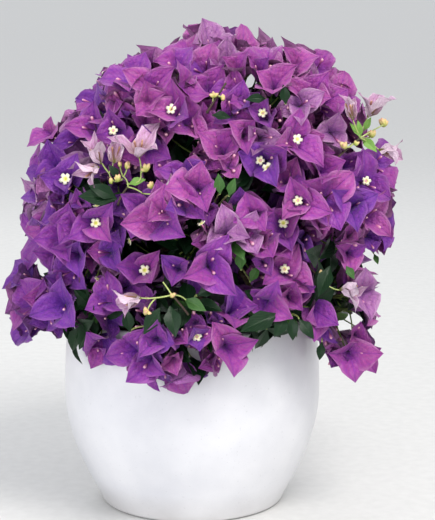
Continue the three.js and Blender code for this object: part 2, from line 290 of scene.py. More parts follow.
def srgb(red, green, blue):
    def linear(value):
        value /= 255
        return value / 12.92 if value <= 0.04045 else ((value + 0.055) / 1.055) ** 2.4
    return (linear(red), linear(green), linear(blue), 1)


def feed(links, socket, value):  # with another socket or with a plain value
    if isinstance(value, bpy.types.NodeSocket):
        links.new(value, socket)
    else:
        socket.default_value = value


class Finish:
    def __init__(self, name, colour, roughness):
        self.material = bpy.data.materials.new(name)
        self.material.use_nodes = True
        self.nodes = self.material.node_tree.nodes
        self.links = self.material.node_tree.links
        self.shader = self.nodes["Principled BSDF"]
        self.shader.inputs["Base Color"].default_value = colour
        self.shader.inputs["Roughness"].default_value = roughness

    def add(self, kind, values=None, **settings):
        node = self.nodes.new("ShaderNode" + kind)
        for name, value in settings.items():
            setattr(node, name, value)
        for socket, value in (values or {}).items():
            feed(self.links, node.inputs[socket], value)
        return node

    def sum(self, operation, *values):
        return self.add("Math", dict(enumerate(values)), operation=operation).outputs[0]

    def mix(self, share, first, second):
        return self.add("Mix", {0: share, 6: first, 7: second}, data_type="RGBA").outputs[2]

    def range(self, value, low, high, toLow, toHigh):
        return self.add("MapRange", {0: value, 1: low, 2: high, 3: toLow, 4: toHigh}).outputs[0]

    def noise(self, vector, scale, detail=2, roughness=0.5):
        values = {"Vector": vector, "Scale": scale, "Detail": detail, "Roughness": roughness}
        return self.add("TexNoise", values).outputs["Fac"]

    def stretched(self, vector, *scale):
        return self.add("Mapping", {"Vector": vector, "Scale": scale}).outputs[0]

    def ramp(self, value, stops):
        node = self.add("ValToRGB", {0: value})
        elements = node.color_ramp.elements
        while len(elements) < len(stops):
            elements.new(0.5)
        for element, (place, colour) in zip(elements, stops):
            element.position = place
            element.color = colour
        return node.outputs[0]

    def objectPlace(self):
        return self.add("TexCoord").outputs["Object"]

    def ownMap(self):  # the map's two numbers
        place = self.add("UVMap", uv_map="OFBake").outputs[0]
        parts = self.add("SeparateXYZ", {0: place})
        return place, parts.outputs[0], parts.outputs[1]

    def set(self, socket, value):
        feed(self.links, self.shader.inputs[socket], value)

    def bump(self, height, strength, distance):
        node = self.add("Bump", {"Height": height, "Strength": strength, "Distance": distance})
        self.links.new(node.outputs[0], self.shader.inputs["Normal"])

    def ribs(self, across, count, strength, distance):
        self.bump(self.sum("PINGPONG", self.sum("MULTIPLY", across, count), 0.5), strength, distance)


# On a blade's map the front lies round one column and the back round the other
bladeMap = {"front": 0.25, "back": 0.75, "half": 0.22}


def bladeMeasures(finish):  # aside is 0 on the midrib and 1 on the edge
    place, across, along = finish.ownMap()
    isBack = finish.sum("GREATER_THAN", across, 0.5)
    step = bladeMap["back"] - bladeMap["front"]
    midrib = finish.sum("MULTIPLY_ADD", isBack, step, bladeMap["front"])
    apart = finish.sum("ABSOLUTE", finish.sum("SUBTRACT", across, midrib))
    return place, along, finish.sum("DIVIDE", apart, bladeMap["half"]), isBack


def veinLines(finish, along, aside, count, slant):
    phase = finish.sum("MULTIPLY", finish.sum("SUBTRACT", along, finish.sum("MULTIPLY", aside, slant)), count)
    wave = finish.sum("PINGPONG", phase, 0.5)
    sideVeins = finish.range(wave, 0.0, 0.09, 1, 0)
    midrib = finish.range(aside, 0.0, 0.07, 1, 0)
    return finish.sum("MAXIMUM", sideVeins, midrib)


bractTints = {  # the face; the base of the blade with its veins, also the painted shade colour; the back, also the painted highlight and edge-glow colour. deep_violet to bright_magenta double as shaded to lit copies, as painted light
    "deep_violet": {"face": srgb(116, 44, 148), "base": srgb(84, 34, 146), "back": srgb(148, 88, 164)},
    "violet": {"face": srgb(136, 50, 146), "base": srgb(98, 38, 154), "back": srgb(160, 98, 164)},
    "magenta": {"face": srgb(154, 58, 144), "base": srgb(114, 44, 156), "back": srgb(172, 110, 166)},
    "bright_magenta": {"face": srgb(166, 70, 146), "base": srgb(124, 52, 158), "back": srgb(182, 126, 174)},
    "lilac": {"face": srgb(166, 106, 160), "base": srgb(130, 70, 156), "back": srgb(192, 154, 188)},
    "young": {"face": srgb(202, 150, 196), "base": srgb(146, 120, 92), "back": srgb(236, 212, 228)},
}


def bractFinish(name, tint):
    finish = Finish("bract_" + name, tint["face"], 0.5)
    place, along, aside, isBack = bladeMeasures(finish)
    veins = veinLines(finish, along, aside, 8, 0.42)
    cells = {"Vector": finish.stretched(place, 26, 15, 1), "Scale": 1.3}
    net = finish.add("TexVoronoi", cells, feature="DISTANCE_TO_EDGE").outputs[0]
    netLines = finish.range(net, 0.0, 0.1, 1, 0)
    mottled = finish.noise(finish.stretched(place, 13, 5, 1), 1.0, 3)

    # darker and bluer towards the base, partly the blade's own colour and partly painted shade deep in the
    # whorl, and darker along the veins; painted shade in dark clouds, painted highlight in pale clouds and a
    # painted glow at the edge
    nearBase = finish.range(along, 0.04, 0.5, 1, 0)
    baseTintAndShade = finish.sum("MULTIPLY", nearBase, finish.range(mottled, 0.3, 0.7, 1, 0.7))
    colour = finish.mix(baseTintAndShade, tint["face"], tint["base"])
    # painted shade: darker, bluer clouds in the base colour
    colour = finish.mix(finish.range(mottled, 0.5, 0.8, 0, 0.5), colour, tint["base"])
    # painted highlight: pale clouds in the back's colour, standing in for sheen and light shining through the
    # bract
    colour = finish.mix(finish.range(mottled, 0.5, 0.25, 0, 0.4), colour, tint["back"])
    lines = finish.sum("MULTIPLY", finish.sum("MAXIMUM", veins, finish.sum("MULTIPLY", netLines, 0.5)), 0.6)
    colour = finish.mix(lines, colour, tint["base"])
    colour = finish.mix(isBack, colour, finish.mix(lines, tint["back"], tint["face"]))
    # painted glow: paler towards the rim, as if lit through the thin edge
    edge = finish.sum("MULTIPLY", finish.range(aside, 0.7, 1, 0, 0.62), finish.range(along, 0.1, 0.5, 0, 1))
    finish.set("Base Color", finish.mix(edge, colour, tint["back"]))
    finish.set("Roughness", finish.range(mottled, 0.3, 0.7, 0.34, 0.56))
    finish.set("Sheen Weight", 0.1)
    finish.set("Specular IOR Level", 0.32)

    # papery: quilted between the veins and crumpled
    pillows = finish.sum("SUBTRACT", finish.range(net, 0, 0.35, 0, 1), veins)
    crumpled = finish.noise(finish.stretched(place, 11, 5, 1), 1.2, 1)
    height = finish.sum("MULTIPLY_ADD", crumpled, 3.2, finish.sum("MULTIPLY", pillows, 0.35))
    finish.bump(height, 0.8, 0.001)
    return finish.material


leafTints = {
    # a deep green, darkened further as painted shade for the many leaves that sit in the crown's shade
    "dark": {
        "face": srgb(14, 38, 20),
        "vein": srgb(44, 74, 40),
        "back": srgb(36, 62, 38),
        "gloss": 0.3,
    },
    "green": {
        "face": srgb(48, 88, 38),
        "vein": srgb(100, 134, 72),
        "back": srgb(88, 120, 68),
        "gloss": 0.34,
    },
    "fresh": {
        "face": srgb(112, 158, 70),
        "vein": srgb(168, 198, 120),
        "back": srgb(140, 174, 100),
        "gloss": 0.4,
    },
}


def leafFinish(name, tint):
    finish = Finish("leaf_" + name, tint["face"], tint["gloss"])
    place, along, aside, isBack = bladeMeasures(finish)
    veins = veinLines(finish, along, aside, 7, 0.5)
    mottled = finish.noise(finish.stretched(place, 12, 6, 1), 1.0, 3)
    colour = finish.mix(finish.range(mottled, 0.3, 0.75, 0.3, 0), tint["face"], tint["back"])
    colour = finish.mix(finish.sum("MULTIPLY", veins, 0.45), colour, tint["vein"])
    finish.set("Base Color", finish.mix(isBack, colour, tint["back"]))
    finish.set("Roughness", finish.sum("ADD", tint["gloss"], finish.sum("MULTIPLY", isBack, 0.25)))
    finish.set("Specular IOR Level", 0.18)
    finish.bump(veins, 0.35, 0.0004)
    return finish.material


tubeTints = {  # from the foot of the tube to its tip
    "flower": [
        (0.0, srgb(74, 84, 48)),
        (0.28, srgb(92, 50, 84)),
        (0.6, srgb(124, 56, 112)),
        (0.82, srgb(196, 112, 158)),
        (0.97, srgb(230, 180, 192)),
    ],
    "young": [
        (0.0, srgb(128, 136, 66)),
        (0.28, srgb(126, 106, 66)),
        (0.6, srgb(134, 92, 76)),
        (0.82, srgb(158, 110, 88)),
        (0.97, srgb(204, 160, 130)),
    ],
}


def tubeFinish(name, stops):
    finish = Finish(name + "_tube", stops[2][1], 0.5)
    _, across, along = finish.ownMap()
    finish.set("Base Color", finish.ramp(along, stops))
    finish.ribs(across, 5, 0.3, 0.0003)
    return finish.material


def starFinish():
    finish = Finish("flower_star", srgb(250, 246, 210), 0.45)
    _, across, along = finish.ownMap()
    finish.set("Base Color", finish.ramp(along, [
        (0.0, srgb(186, 196, 84)),
        (0.12, srgb(206, 208, 96)),
        (0.3, srgb(238, 232, 148)),
        (0.48, srgb(246, 240, 204)),
        (1.0, srgb(246, 242, 226)),
    ]))
    finish.ribs(across, 5, 0.35, 0.0004)
    return finish.material


def budFinish():
    finish = Finish("young_bud", srgb(190, 184, 96), 0.5)
    _, across, along = finish.ownMap()
    finish.set("Base Color", finish.ramp(along, [
        (0.0, srgb(120, 146, 58)),
        (0.45, srgb(186, 190, 96)),
        (0.8, srgb(222, 196, 140)),
        (1.0, srgb(206, 140, 128)),
    ]))
    finish.ribs(across, 4, 0.4, 0.0005)
    return finish.material


def barkFinish():
    finish = Finish("bark", srgb(104, 86, 68), 0.85)
    place = finish.objectPlace()
    long = finish.stretched(place, 1, 1, 0.28)
    coarse = finish.noise(long, 240, 5, 0.6)
    fine = finish.noise(long, 900, 3, 0.6)
    finish.set("Base Color", finish.ramp(coarse, [
        (0.3, srgb(62, 48, 38)),
        (0.5, srgb(112, 92, 74)),
        (0.7, srgb(152, 134, 112)),
    ]))
    finish.bump(finish.sum("ADD", coarse, finish.sum("MULTIPLY", fine, 0.4)), 0.7, 0.0015)
    return finish.material


def twigFinish():
    finish = Finish("twig", srgb(74, 54, 44), 0.7)
    place, _, along = finish.ownMap()
    spots = finish.noise(finish.stretched(place, 6, 18, 1), 1.6, 3)
    colour = finish.ramp(spots, [(0.3, srgb(38, 26, 28)), (0.6, srgb(76, 56, 46)), (0.8, srgb(108, 90, 70))])
    finish.set("Base Color", finish.mix(finish.range(along, 0.55, 1, 0, 0.4), colour, srgb(74, 82, 46)))
    finish.bump(spots, 0.4, 0.0006)
    return finish.material


def stalkFinish():  # green, and woodier towards its foot
    finish = Finish("stalk", srgb(120, 140, 66), 0.5)
    place, _, along = finish.ownMap()
    spots = finish.noise(finish.stretched(place, 4, 12, 1), 2, 3)
    green = finish.mix(finish.range(spots, 0.3, 0.7, 0, 0.6), srgb(116, 142, 62), srgb(150, 168, 92))
    finish.set("Base Color", finish.mix(finish.range(along, 0, 0.45, 1, 0), green, srgb(82, 70, 48)))
    finish.bump(spots, 0.2, 0.0004)
    return finish.material


def youngStalkFinish():
    finish = Finish("young_stalk", srgb(176, 192, 112), 0.5)
    place, _, _ = finish.ownMap()
    spots = finish.noise(finish.stretched(place, 4, 12, 1), 2, 3)
    pale = finish.range(spots, 0.3, 0.7, 0, 1)
    finish.set("Base Color", finish.mix(pale, srgb(150, 174, 88), srgb(196, 206, 132)))
    finish.bump(spots, 0.2, 0.0004)
    return finish.material


def glazeFinish():
    finish = Finish("pot_glaze", srgb(218, 218, 222), 0.3)
    place = finish.objectPlace()
    clouds = finish.noise(place, 9, 4, 0.55)
    speckle = finish.noise(place, 420, 2, 0.5)
    colour = finish.ramp(clouds, [(0.35, srgb(208, 209, 214)), (0.65, srgb(228, 228, 231))])
    colour = finish.mix(finish.range(speckle, 0.66, 0.78, 0, 0.35), colour, srgb(174, 174, 178))
    height = finish.add("SeparateXYZ", {0: place}).outputs[2]
    low = finish.range(height, 0.002, 0.03, 0.5, 0)  # dust gathers at the foot
    dust = finish.sum("MULTIPLY", low, finish.range(clouds, 0.3, 0.7, 1, 0.3))
    finish.set("Base Color", finish.mix(dust, colour, srgb(170, 162, 150)))
    finish.set("Roughness", finish.range(clouds, 0.3, 0.7, 0.26, 0.4))
    finish.set("Coat Weight", 0.25)
    finish.set("Coat Roughness", 0.2)
    relief = finish.sum("ADD", finish.sum("MULTIPLY", clouds, 0.8), finish.sum("MULTIPLY", speckle, 0.1))
    finish.bump(relief, 0.25, 0.002)
    return finish.material


def soilFinish(name, light):
    finish = Finish(name, srgb(58, 42, 32), 0.95)
    place = finish.objectPlace()
    lumps = finish.noise(place, 190, 5, 0.65)
    finish.set("Base Color", finish.ramp(lumps, [
        (0.3, srgb(30 * light, 22 * light, 18 * light)),
        (0.55, srgb(62 * light, 46 * light, 36 * light)),
        (0.75, srgb(92 * light, 72 * light, 56 * light)),
    ]))
    finish.bump(lumps, 0.8, 0.002)
    return finish.material


# Trees of nodes: tubes along strands, and blades on points

class Tree:
    def __init__(self, name, inputs):
        self.group = bpy.data.node_groups.new(name, "GeometryNodeTree")
        self.group.interface.new_socket("Geometry", in_out="INPUT", socket_type="NodeSocketGeometry")
        for label, kind, value in inputs:
            socket = self.group.interface.new_socket(label, in_out="INPUT", socket_type="NodeSocket" + kind)
            if value is not None:
                socket.default_value = value
        self.group.interface.new_socket("Geometry", in_out="OUTPUT", socket_type="NodeSocketGeometry")
        self.start = self.group.nodes.new("NodeGroupInput").outputs
        self.end = self.group.nodes.new("NodeGroupOutput")

    def add(self, kind, values=None, **settings):
        node = self.group.nodes.new(kind)
        for name, value in settings.items():
            setattr(node, name, value)
        for socket, value in (values or {}).items():
            feed(self.group.links, node.inputs[socket], value)
        return node.outputs

    def named(self, name, kind):
        return self.add("GeometryNodeInputNamedAttribute", {"Name": name}, data_type=kind)[0]

    def stored(self, geometry, name, value, kind="FLOAT", domain="POINT"):
        values = {0: geometry, "Name": name, "Value": value}
        return self.add("GeometryNodeStoreNamedAttribute", values, data_type=kind, domain=domain)[0]

    def times(self, first, second):
        return self.add("ShaderNodeMath", {0: first, 1: second}, operation="MULTIPLY")[0]

    def shapes(self):
        return self.add("GeometryNodeCollectionInfo", {0: self.start["Shapes"], 1: True, 2: True})[0]

    def finish(self, geometry):
        whole = self.add("GeometryNodeRealizeInstances", {0: geometry})[0]
        painted = self.add("GeometryNodeSetMaterial", {0: whole, "Material": self.start["Finish"]})[0]
        self.group.links.new(painted, self.end.inputs[0])


def strandTree():  # a tube along each strand, as thick as its points say
    tree = Tree("strandSkin", [
        ("Sides", "Int", 6),
        ("Thickness", "Float", 1.0),
        ("Finish", "Material", None),
    ])
    curve = tree.add("GeometryNodeMeshToCurve", {0: tree.start["Geometry"]})[0]
    curve = tree.stored(curve, "along", tree.add("GeometryNodeSplineParameter")[0])
    ring = tree.add("GeometryNodeCurvePrimitiveCircle", {"Resolution": tree.start["Sides"], "Radius": 1.0})[0]
    ring = tree.stored(ring, "around", tree.add("GeometryNodeSplineParameter")[0])
    size = tree.times(tree.named("thickness", "FLOAT"), tree.start["Thickness"])
    skin = tree.add("GeometryNodeCurveToMesh", {0: curve, 1: ring, "Scale": size, "Fill Caps": True})[0]
    skin = tree.add("GeometryNodeSetShadeSmooth", {0: skin})[0]
    around, along = tree.named("around", "FLOAT"), tree.named("along", "FLOAT")
    place = tree.add("ShaderNodeCombineXYZ", {0: around, 1: along})[0]
    tree.finish(tree.stored(skin, "OFBake", place, "FLOAT2", "CORNER"))
    return tree.group


def bladeTree():  # one of the shapes on each point, turned and sized as the point says
    tree = Tree("bladesOnPoints", [
        ("Shapes", "Collection", None),
        ("Size", "Float", 1.0),
        ("Finish", "Material", None),
    ])
    blades = tree.add("GeometryNodeInstanceOnPoints", {
        "Points": tree.start["Geometry"],
        "Instance": tree.shapes(),
        "Pick Instance": True,
        "Instance Index": tree.named("shape", "INT"),
        "Rotation": tree.named("turn", "QUATERNION"),
        "Scale": tree.times(tree.named("size", "FLOAT"), tree.start["Size"]),
    })[0]
    tree.finish(blades)
    return tree.group


def crumbTree():
    tree = Tree("crumbsOnSoil", [
        ("Shapes", "Collection", None),
        ("Density", "Float", 20000.0),
        ("Smallest", "Float", 0.4),
        ("Biggest", "Float", 1.0),
        ("Seed", "Int", 3),
        ("Finish", "Material", None),
    ])
    facing = tree.add("GeometryNodeInputNormal")[0]
    level = tree.add("ShaderNodeSeparateXYZ", {0: facing})[2]
    onTop = tree.add("ShaderNodeMath", {0: level, 1: 0.7}, operation="GREATER_THAN")[0]
    points = tree.add("GeometryNodeDistributePointsOnFaces", {
        "Mesh": tree.start["Geometry"],
        "Selection": onTop,
        "Density": tree.start["Density"],
        "Seed": tree.start["Seed"],
    })[0]
    size = tree.add("FunctionNodeRandomValue", {
        2: tree.start["Smallest"],
        3: tree.start["Biggest"],
        "Seed": tree.start["Seed"],
    }, data_type="FLOAT")[1]
    turn = tree.add("FunctionNodeRandomValue", {
        0: (0, 0, 0),
        1: (6.283, 6.283, 6.283),
        "Seed": tree.start["Seed"],
    }, data_type="FLOAT_VECTOR")[0]
    crumbs = tree.add("GeometryNodeInstanceOnPoints", {
        "Points": points,
        "Instance": tree.shapes(),
        "Pick Instance": True,
        "Rotation": turn,
        "Scale": size,
    })[0]
    tree.finish(crumbs)
    return tree.group


def grownPiece(name, source, tree, values):
    modifier = source.modifiers.new("grow", "NODES")
    modifier.node_group = tree
    for item in tree.interface.items_tree:
        if item.in_out == "INPUT" and item.name in values:
            modifier[item.identifier] = values[item.name]
    evaluated = source.evaluated_get(bpy.context.evaluated_depsgraph_get())
    mesh = bpy.data.meshes.new_from_object(evaluated)
    mesh.name = name
    bpy.data.objects.remove(source)
    return addObject(name, mesh)


def shapesCollection(name, meshes):
    collection = bpy.data.collections.new(name)
    for k, mesh in enumerate(meshes):
        collection.objects.link(bpy.data.objects.new(f"{name}_{k:02d}", mesh))
    return collection


# Blades: bracts and leaves, closed thin shapes that share one outline for front and back.
# X points outwards, Z along the axis of the whorl, and the front looks back to the axis.

bladeRule = {
    "lengths": (0.92, 1.06),  # what the shapes vary between, as shares of their length and width
    "widths": (0.9, 1.08),
    "spineSteps": 60,
    "curl": 1.3,  # above 1 a blade bends most at its tip
    "rowSpread": 0.92,  # below 1 its rows stand closer at the tip
    "least": 0.07,  # of half its width, at the foot
}

bractShapes = {
    "count": 10,
    "length": 39,
    "width": 31,
    "shoulder": 0.38,
    "neck": 0.0,
    "start": (12, 34),
    "end": (48, 112),
    "fold": (8, 36),
    "wave": (1.4, 3.8),
    "ripples": 12,
    "taper": 1.35,
    "bulge": 1.95,
    "twist": 24,
    "thick": 0.34,
    "rows": 8,
    "columns": 4,
    "seed": 11,
}

leafShapes = {
    "count": 8,
    "length": 36,
    "width": 19,
    "shoulder": 0.3,
    "neck": 0.16,
    "start": (64, 78),
    "end": (88, 118),
    "fold": (8, 22),
    "wave": (0.3, 1.1),
    "ripples": 8,
    "taper": 1.25,
    "bulge": 1.25,
    "twist": 12,
    "thick": 0.36,
    "rows": 6,
    "columns": 4,
    "seed": 23,
}


# The young sprays have narrower ones
youngBractShapes = {
    **bractShapes, "count": 6, "length": 38, "width": 21, "start": (4, 22), "end": (34, 80),
    "fold": (14, 38), "taper": 1.2, "bulge": 1.3, "seed": 31,
}
youngLeafShapes = {**leafShapes, "count": 5, "length": 20, "width": 9, "fold": (14, 34), "seed": 29}


def outlineAt(share, shape):  # half the width, from 0 to 1
    neck, shoulder = shape["neck"], shape["shoulder"]
    if share <= neck:
        return bladeRule["least"]
    share = (share - neck) / (1 - neck)
    if share < shoulder:
        return max(bladeRule["least"], math.sqrt(1 - (1 - share / shoulder) ** 2))
    fall = (share - shoulder) / (1 - shoulder)
    return (1 - fall) ** shape["taper"] * (1 + shape["bulge"] * fall)


def bladeMesh(name, shape, draw):
    rows, columns = shape["rows"], shape["columns"]
    start, end = (math.radians(between(draw, *shape[key])) for key in ("start", "end"))
    fold = math.radians(between(draw, *shape["fold"]))
    wave = between(draw, *shape["wave"])
    twist = math.radians(between(draw, -shape["twist"], shape["twist"]))
    phases = [between(draw, 0, 2 * math.pi) for _ in range(2)]
    length = shape["length"] * between(draw, *bladeRule["lengths"])
    half = shape["width"] / 2 * between(draw, *bladeRule["widths"])
    fine = bladeRule["spineSteps"]
    spine = [np.zeros(3)]
    angles = [start + (end - start) * (k / fine) ** bladeRule["curl"] for k in range(fine + 1)]
    for k in range(fine):
        step = length / fine
        spine.append(spine[-1] + step * np.array([math.sin(angles[k]), 0, math.cos(angles[k])]))
    shares = [(k / rows) ** bladeRule["rowSpread"] for k in range(rows + 1)]
    front, back = {}, {}
    points, places = [], []
    for i, share in enumerate(shares):
        k = min(fine, round(share * fine))
        angle, middle = angles[k], spine[k]
        inwards = np.array([-math.cos(angle), 0, math.sin(angle)])
        width = half * outlineAt(share, shape) if i < rows else 0
        for j in range(columns + 1):
            if i == rows and j:
                front[i, j] = back[i, j] = front[i, 0]
                continue
            aside = 2 * j / columns - 1
            ripple = wave * math.sin(share * shape["ripples"] + phases[aside > 0])
            ripple = ripple * abs(aside) ** 1.5 * math.sin(math.pi * share)
            lift = abs(aside) * width * math.sin(fold) + ripple
            roll = twist * share
            flat = aside * width * math.cos(fold)
            side = np.array([0, flat * math.cos(roll), 0]) + inwards * (flat * math.sin(roll) + lift)
            place = middle + side
            edge = i in (0, rows) or j in (0, columns)
            front[i, j] = len(points)
            points.append(place if edge else place + inwards * shape["thick"] / 2)
            places.append((aside, share))
            if edge:
                back[i, j] = front[i, j]
            else:
                back[i, j] = len(points)
                points.append(place - inwards * shape["thick"] / 2)
                places.append((aside, share))
    faces, corners = [], []
    for grid, isBack in ((front, False), (back, True)):
        for i in range(rows):
            for j in range(columns):
                loop = [grid[i, j], grid[i + 1, j], grid[i + 1, j + 1], grid[i, j + 1]]
                if isBack:  # starts at the same corner, so that both layers split along one diagonal
                    loop[1:] = loop[:0:-1]
                loop = list(dict.fromkeys(loop))
                faces.append(loop)
                for point in loop:
                    aside, share = places[point]
                    if i == rows - 1 and point == grid[rows, 0]:
                        aside = 0
                    column = bladeMap["back" if isBack else "front"]
                    corners.append((column + bladeMap["half"] * aside, share))
    mesh = smoothMesh(name, np.array(points), faces, corners)
    rim = [front[i, 0] for i in range(rows + 1)] + [front[i, columns] for i in range(rows - 1, -1, -1)]
    rim += [front[0, j] for j in range(columns - 1, 0, -1)]
    pairs = {frozenset(pair) for pair in zip(rim, rim[1:] + rim[:1])}
    for grid in (front, back):  # and the crease along the midrib
        pairs |= {frozenset((grid[i, columns // 2], grid[i + 1, columns // 2])) for i in range(1, rows)}
    for edge in mesh.edges:
        edge.use_edge_sharp = frozenset(edge.vertices) in pairs
    return mesh, np.array(points)[sorted(set(front.values()))]


def bladeSet(name, shape):  # the shapes, and the points of each one's front
    draw = random.Random(shape["seed"])
    made = [bladeMesh(f"{name}_{k:02d}", shape, draw) for k in range(shape["count"])]
    return shapesCollection(name, [mesh for mesh, _ in made]), [front for _, front in made]


flowerShapes = {  # outlines of the tubes and the bud: radius and height
    "tubeLength": 19,
    "tube": [(0, 0), (0.8, 0.1), (1.0, 3), (0.75, 9), (0.85, 13), (1.15, 16.6), (0.95, 18.4), (0, 19.2)],
    "swollenTube": [
        (0, 0), (0.8, 0.1), (1.0, 3), (0.75, 9), (0.9, 13), (1.75, 16.4), (1.55, 18.6), (0, 19.8)],
    "openTube": [(0, 0), (0.8, 0.1), (0.95, 3), (0.75, 9), (0.85, 12), (1.1, 14.6), (0.7, 14.4), (0, 13.4)],
    "bud": [(0, 0), (1.6, 0.6), (2.5, 3), (2.2, 5.5), (1.2, 7.4), (0, 8.6)],
    "sides": 6,
}

starShape = {  # shares of the radius, and heights over the end of the tube
    "radius": 5.7,
    "dip": 1.6,
    "throat": [(0.0, -1.8), (0.16, -0.8), (0.34, 0.2)],
    "lobe": [(0.6, 0.2), (0.94, 0.9), (0.92, 1.3), (0.94, 0.9)],
    "under": (0.2, -1.0),
    "foot": -4.6,
    "underTint": 0.6,
}

tubeKinds = ["tube", "openTube", "swollenTube"]


def starMesh(name):
    reach, lobe = starShape["radius"], starShape["lobe"]
    count = 5 * len(lobe)
    angles = [2 * math.pi * (k / len(lobe)) / 5 for k in range(count)]
    points, places = [(0, 0, starShape["throat"][0][1])], [(0.5, 0.0)]

    def addRing(rings, tint=None):  # one place of the outline after another, each from its own ring
        for k, angle in enumerate(angles):
            share, lift = rings[k % len(rings)]
            points.append((share * reach * math.cos(angle), share * reach * math.sin(angle), lift))
            places.append((k / count, share if tint is None else tint))

    for ring in starShape["throat"][1:]:
        addRing([ring])
    addRing(lobe)
    under = len(points)
    addRing([starShape["under"]], starShape["underTint"])
    points.append((0, 0, starShape["foot"]))
    places.append((0.5, starShape["underTint"]))
    faces = []
    for k in range(count):
        following = (k + 1) % count
        faces.append([0, 1 + k, 1 + following])
        for ring in range(2):
            low, high = 1 + ring * count, 1 + (ring + 1) * count
            faces.append([low + k, high + k, high + following, low + following])
        last = 1 + 2 * count
        faces.append([last + following, last + k, under + k, under + following])
        faces.append([under + following, under + k, under + count])
    corners = [places[point] for face in faces for point in face]
    lifted = np.array(points) + [0, 0, flowerShapes["tubeLength"] - starShape["dip"]]
    return smoothMesh(name, lifted, faces, corners)


# Spaces of the masses

core = np.array(crownShape["core"], float) + [0, 0, potShape["height"]]


def makeMasses():
    masses = []
    for ring in crownShape["rings"]:
        for index in range(ring["count"]):
            azimuth = math.radians(ring["first"] + 360 * index / ring["count"])
            middle = np.array([
                ring["shift"] + ring["out"] * math.cos(azimuth),
                ring["out"] * math.sin(azimuth),
                potShape["height"] + ring["above"],
            ])
            number = f"_{index + 1}" if ring["count"] > 1 else ""
            masses.append({
                "name": f"{ring['name']}_{ring['kind']}{number}",
                "bough": f"{ring['name']}_bough{number}",
                "ring": ring["name"],
                "kind": ring["kind"],
                "index": index,
                "count": ring["count"],
                "azimuth": azimuth,
                "middle": middle,
                "radius": ring["radius"],
                "outwards": unit(middle - core),
            })
    return masses


masses = makeMasses()
middles = np.array([mass["middle"] for mass in masses])
radii = np.array([mass["radius"] for mass in masses], float)


def ballDepths(points):  # how deep each point lies in the ball that covers it best
    apart = np.linalg.norm(np.atleast_2d(points)[:, None] - middles[None], axis=2)
    return (radii - apart).max(axis=1)


def ownerOf(point):
    powers = np.sum((middles - point) ** 2, axis=1) - radii ** 2
    return int(np.argmin(powers))


def potRadiusAt(height):
    height = np.clip(height, 0, potShape["height"])
    foot, belly, rim = potShape["footRadius"], potShape["bellyRadius"], potShape["rimRadius"]
    low = foot + (belly - foot) * np.sin(np.pi / 2 * np.minimum(height / potShape["bellyHeight"], 1))
    share = np.maximum(0, (height - potShape["bellyHeight"]) / (potShape["height"] - potShape["bellyHeight"]))
    return low - (belly - rim) * share ** 2


def clearOfPot(points, extra):
    points = np.atleast_2d(points)
    aside = np.hypot(points[:, 0], points[:, 1])
    inPot = (aside < potRadiusAt(points[:, 2]) + extra) & (points[:, 2] < potShape["height"] + extra)
    return not inPot.any()


def fits(points, margin):
    return ballDepths(points).min() > margin and clearOfPot(points, crownShape["potRoom"])


def crownNear(column, row, inset):  # where a sight line meets the balls, made smaller by inset
    ahead = rayThrough(column, row)
    nearest = math.inf
    for middle, radius in zip(middles, radii):
        back = eye - middle
        b, c = back @ ahead, back @ back - (radius - inset) ** 2
        if b * b > c:
            nearest = min(nearest, -b - math.sqrt(b * b - c))
    if nearest < math.inf:
        return eye + ahead * nearest
    passed = eye + ((middles - eye) @ ahead)[:, None] * ahead  # or where it passes nearest to one
    return passed[np.argmin(np.linalg.norm(passed - middles, axis=1) - radii)]


# Limbs

trunkFoot = potShape["height"] - soilShape["drop"] + boughShape["gap"]


def trunkPoint(share):
    turn, sway = 2 * math.pi * share, trunkShape["sway"]
    return np.array([
        sway * math.sin(turn) + 2 * sway * share,
        sway * (math.cos(turn) - 1) / 2,
        trunkFoot + trunkShape["height"] * share,
    ])


def trunkRadius(share):
    taper = trunkShape["baseRadius"] + (trunkShape["tipRadius"] - trunkShape["baseRadius"]) * share ** 0.8
    return taper + trunkShape["flare"] * math.exp(-share * trunkShape["height"] / trunkShape["flareHeight"])


def bezier(start, middle, end, shares):
    shares = np.asarray(shares, float)[:, None]
    return (1 - shares) ** 2 * start + 2 * shares * (1 - shares) * middle + shares ** 2 * end


def pointAlong(points, share):  # at a share of a polyline's length
    steps = np.linalg.norm(np.diff(points, axis=0), axis=1)
    place = np.concatenate([[0], np.cumsum(steps)])
    return np.array([np.interp(share * place[-1], place, points[:, k]) for k in range(3)])


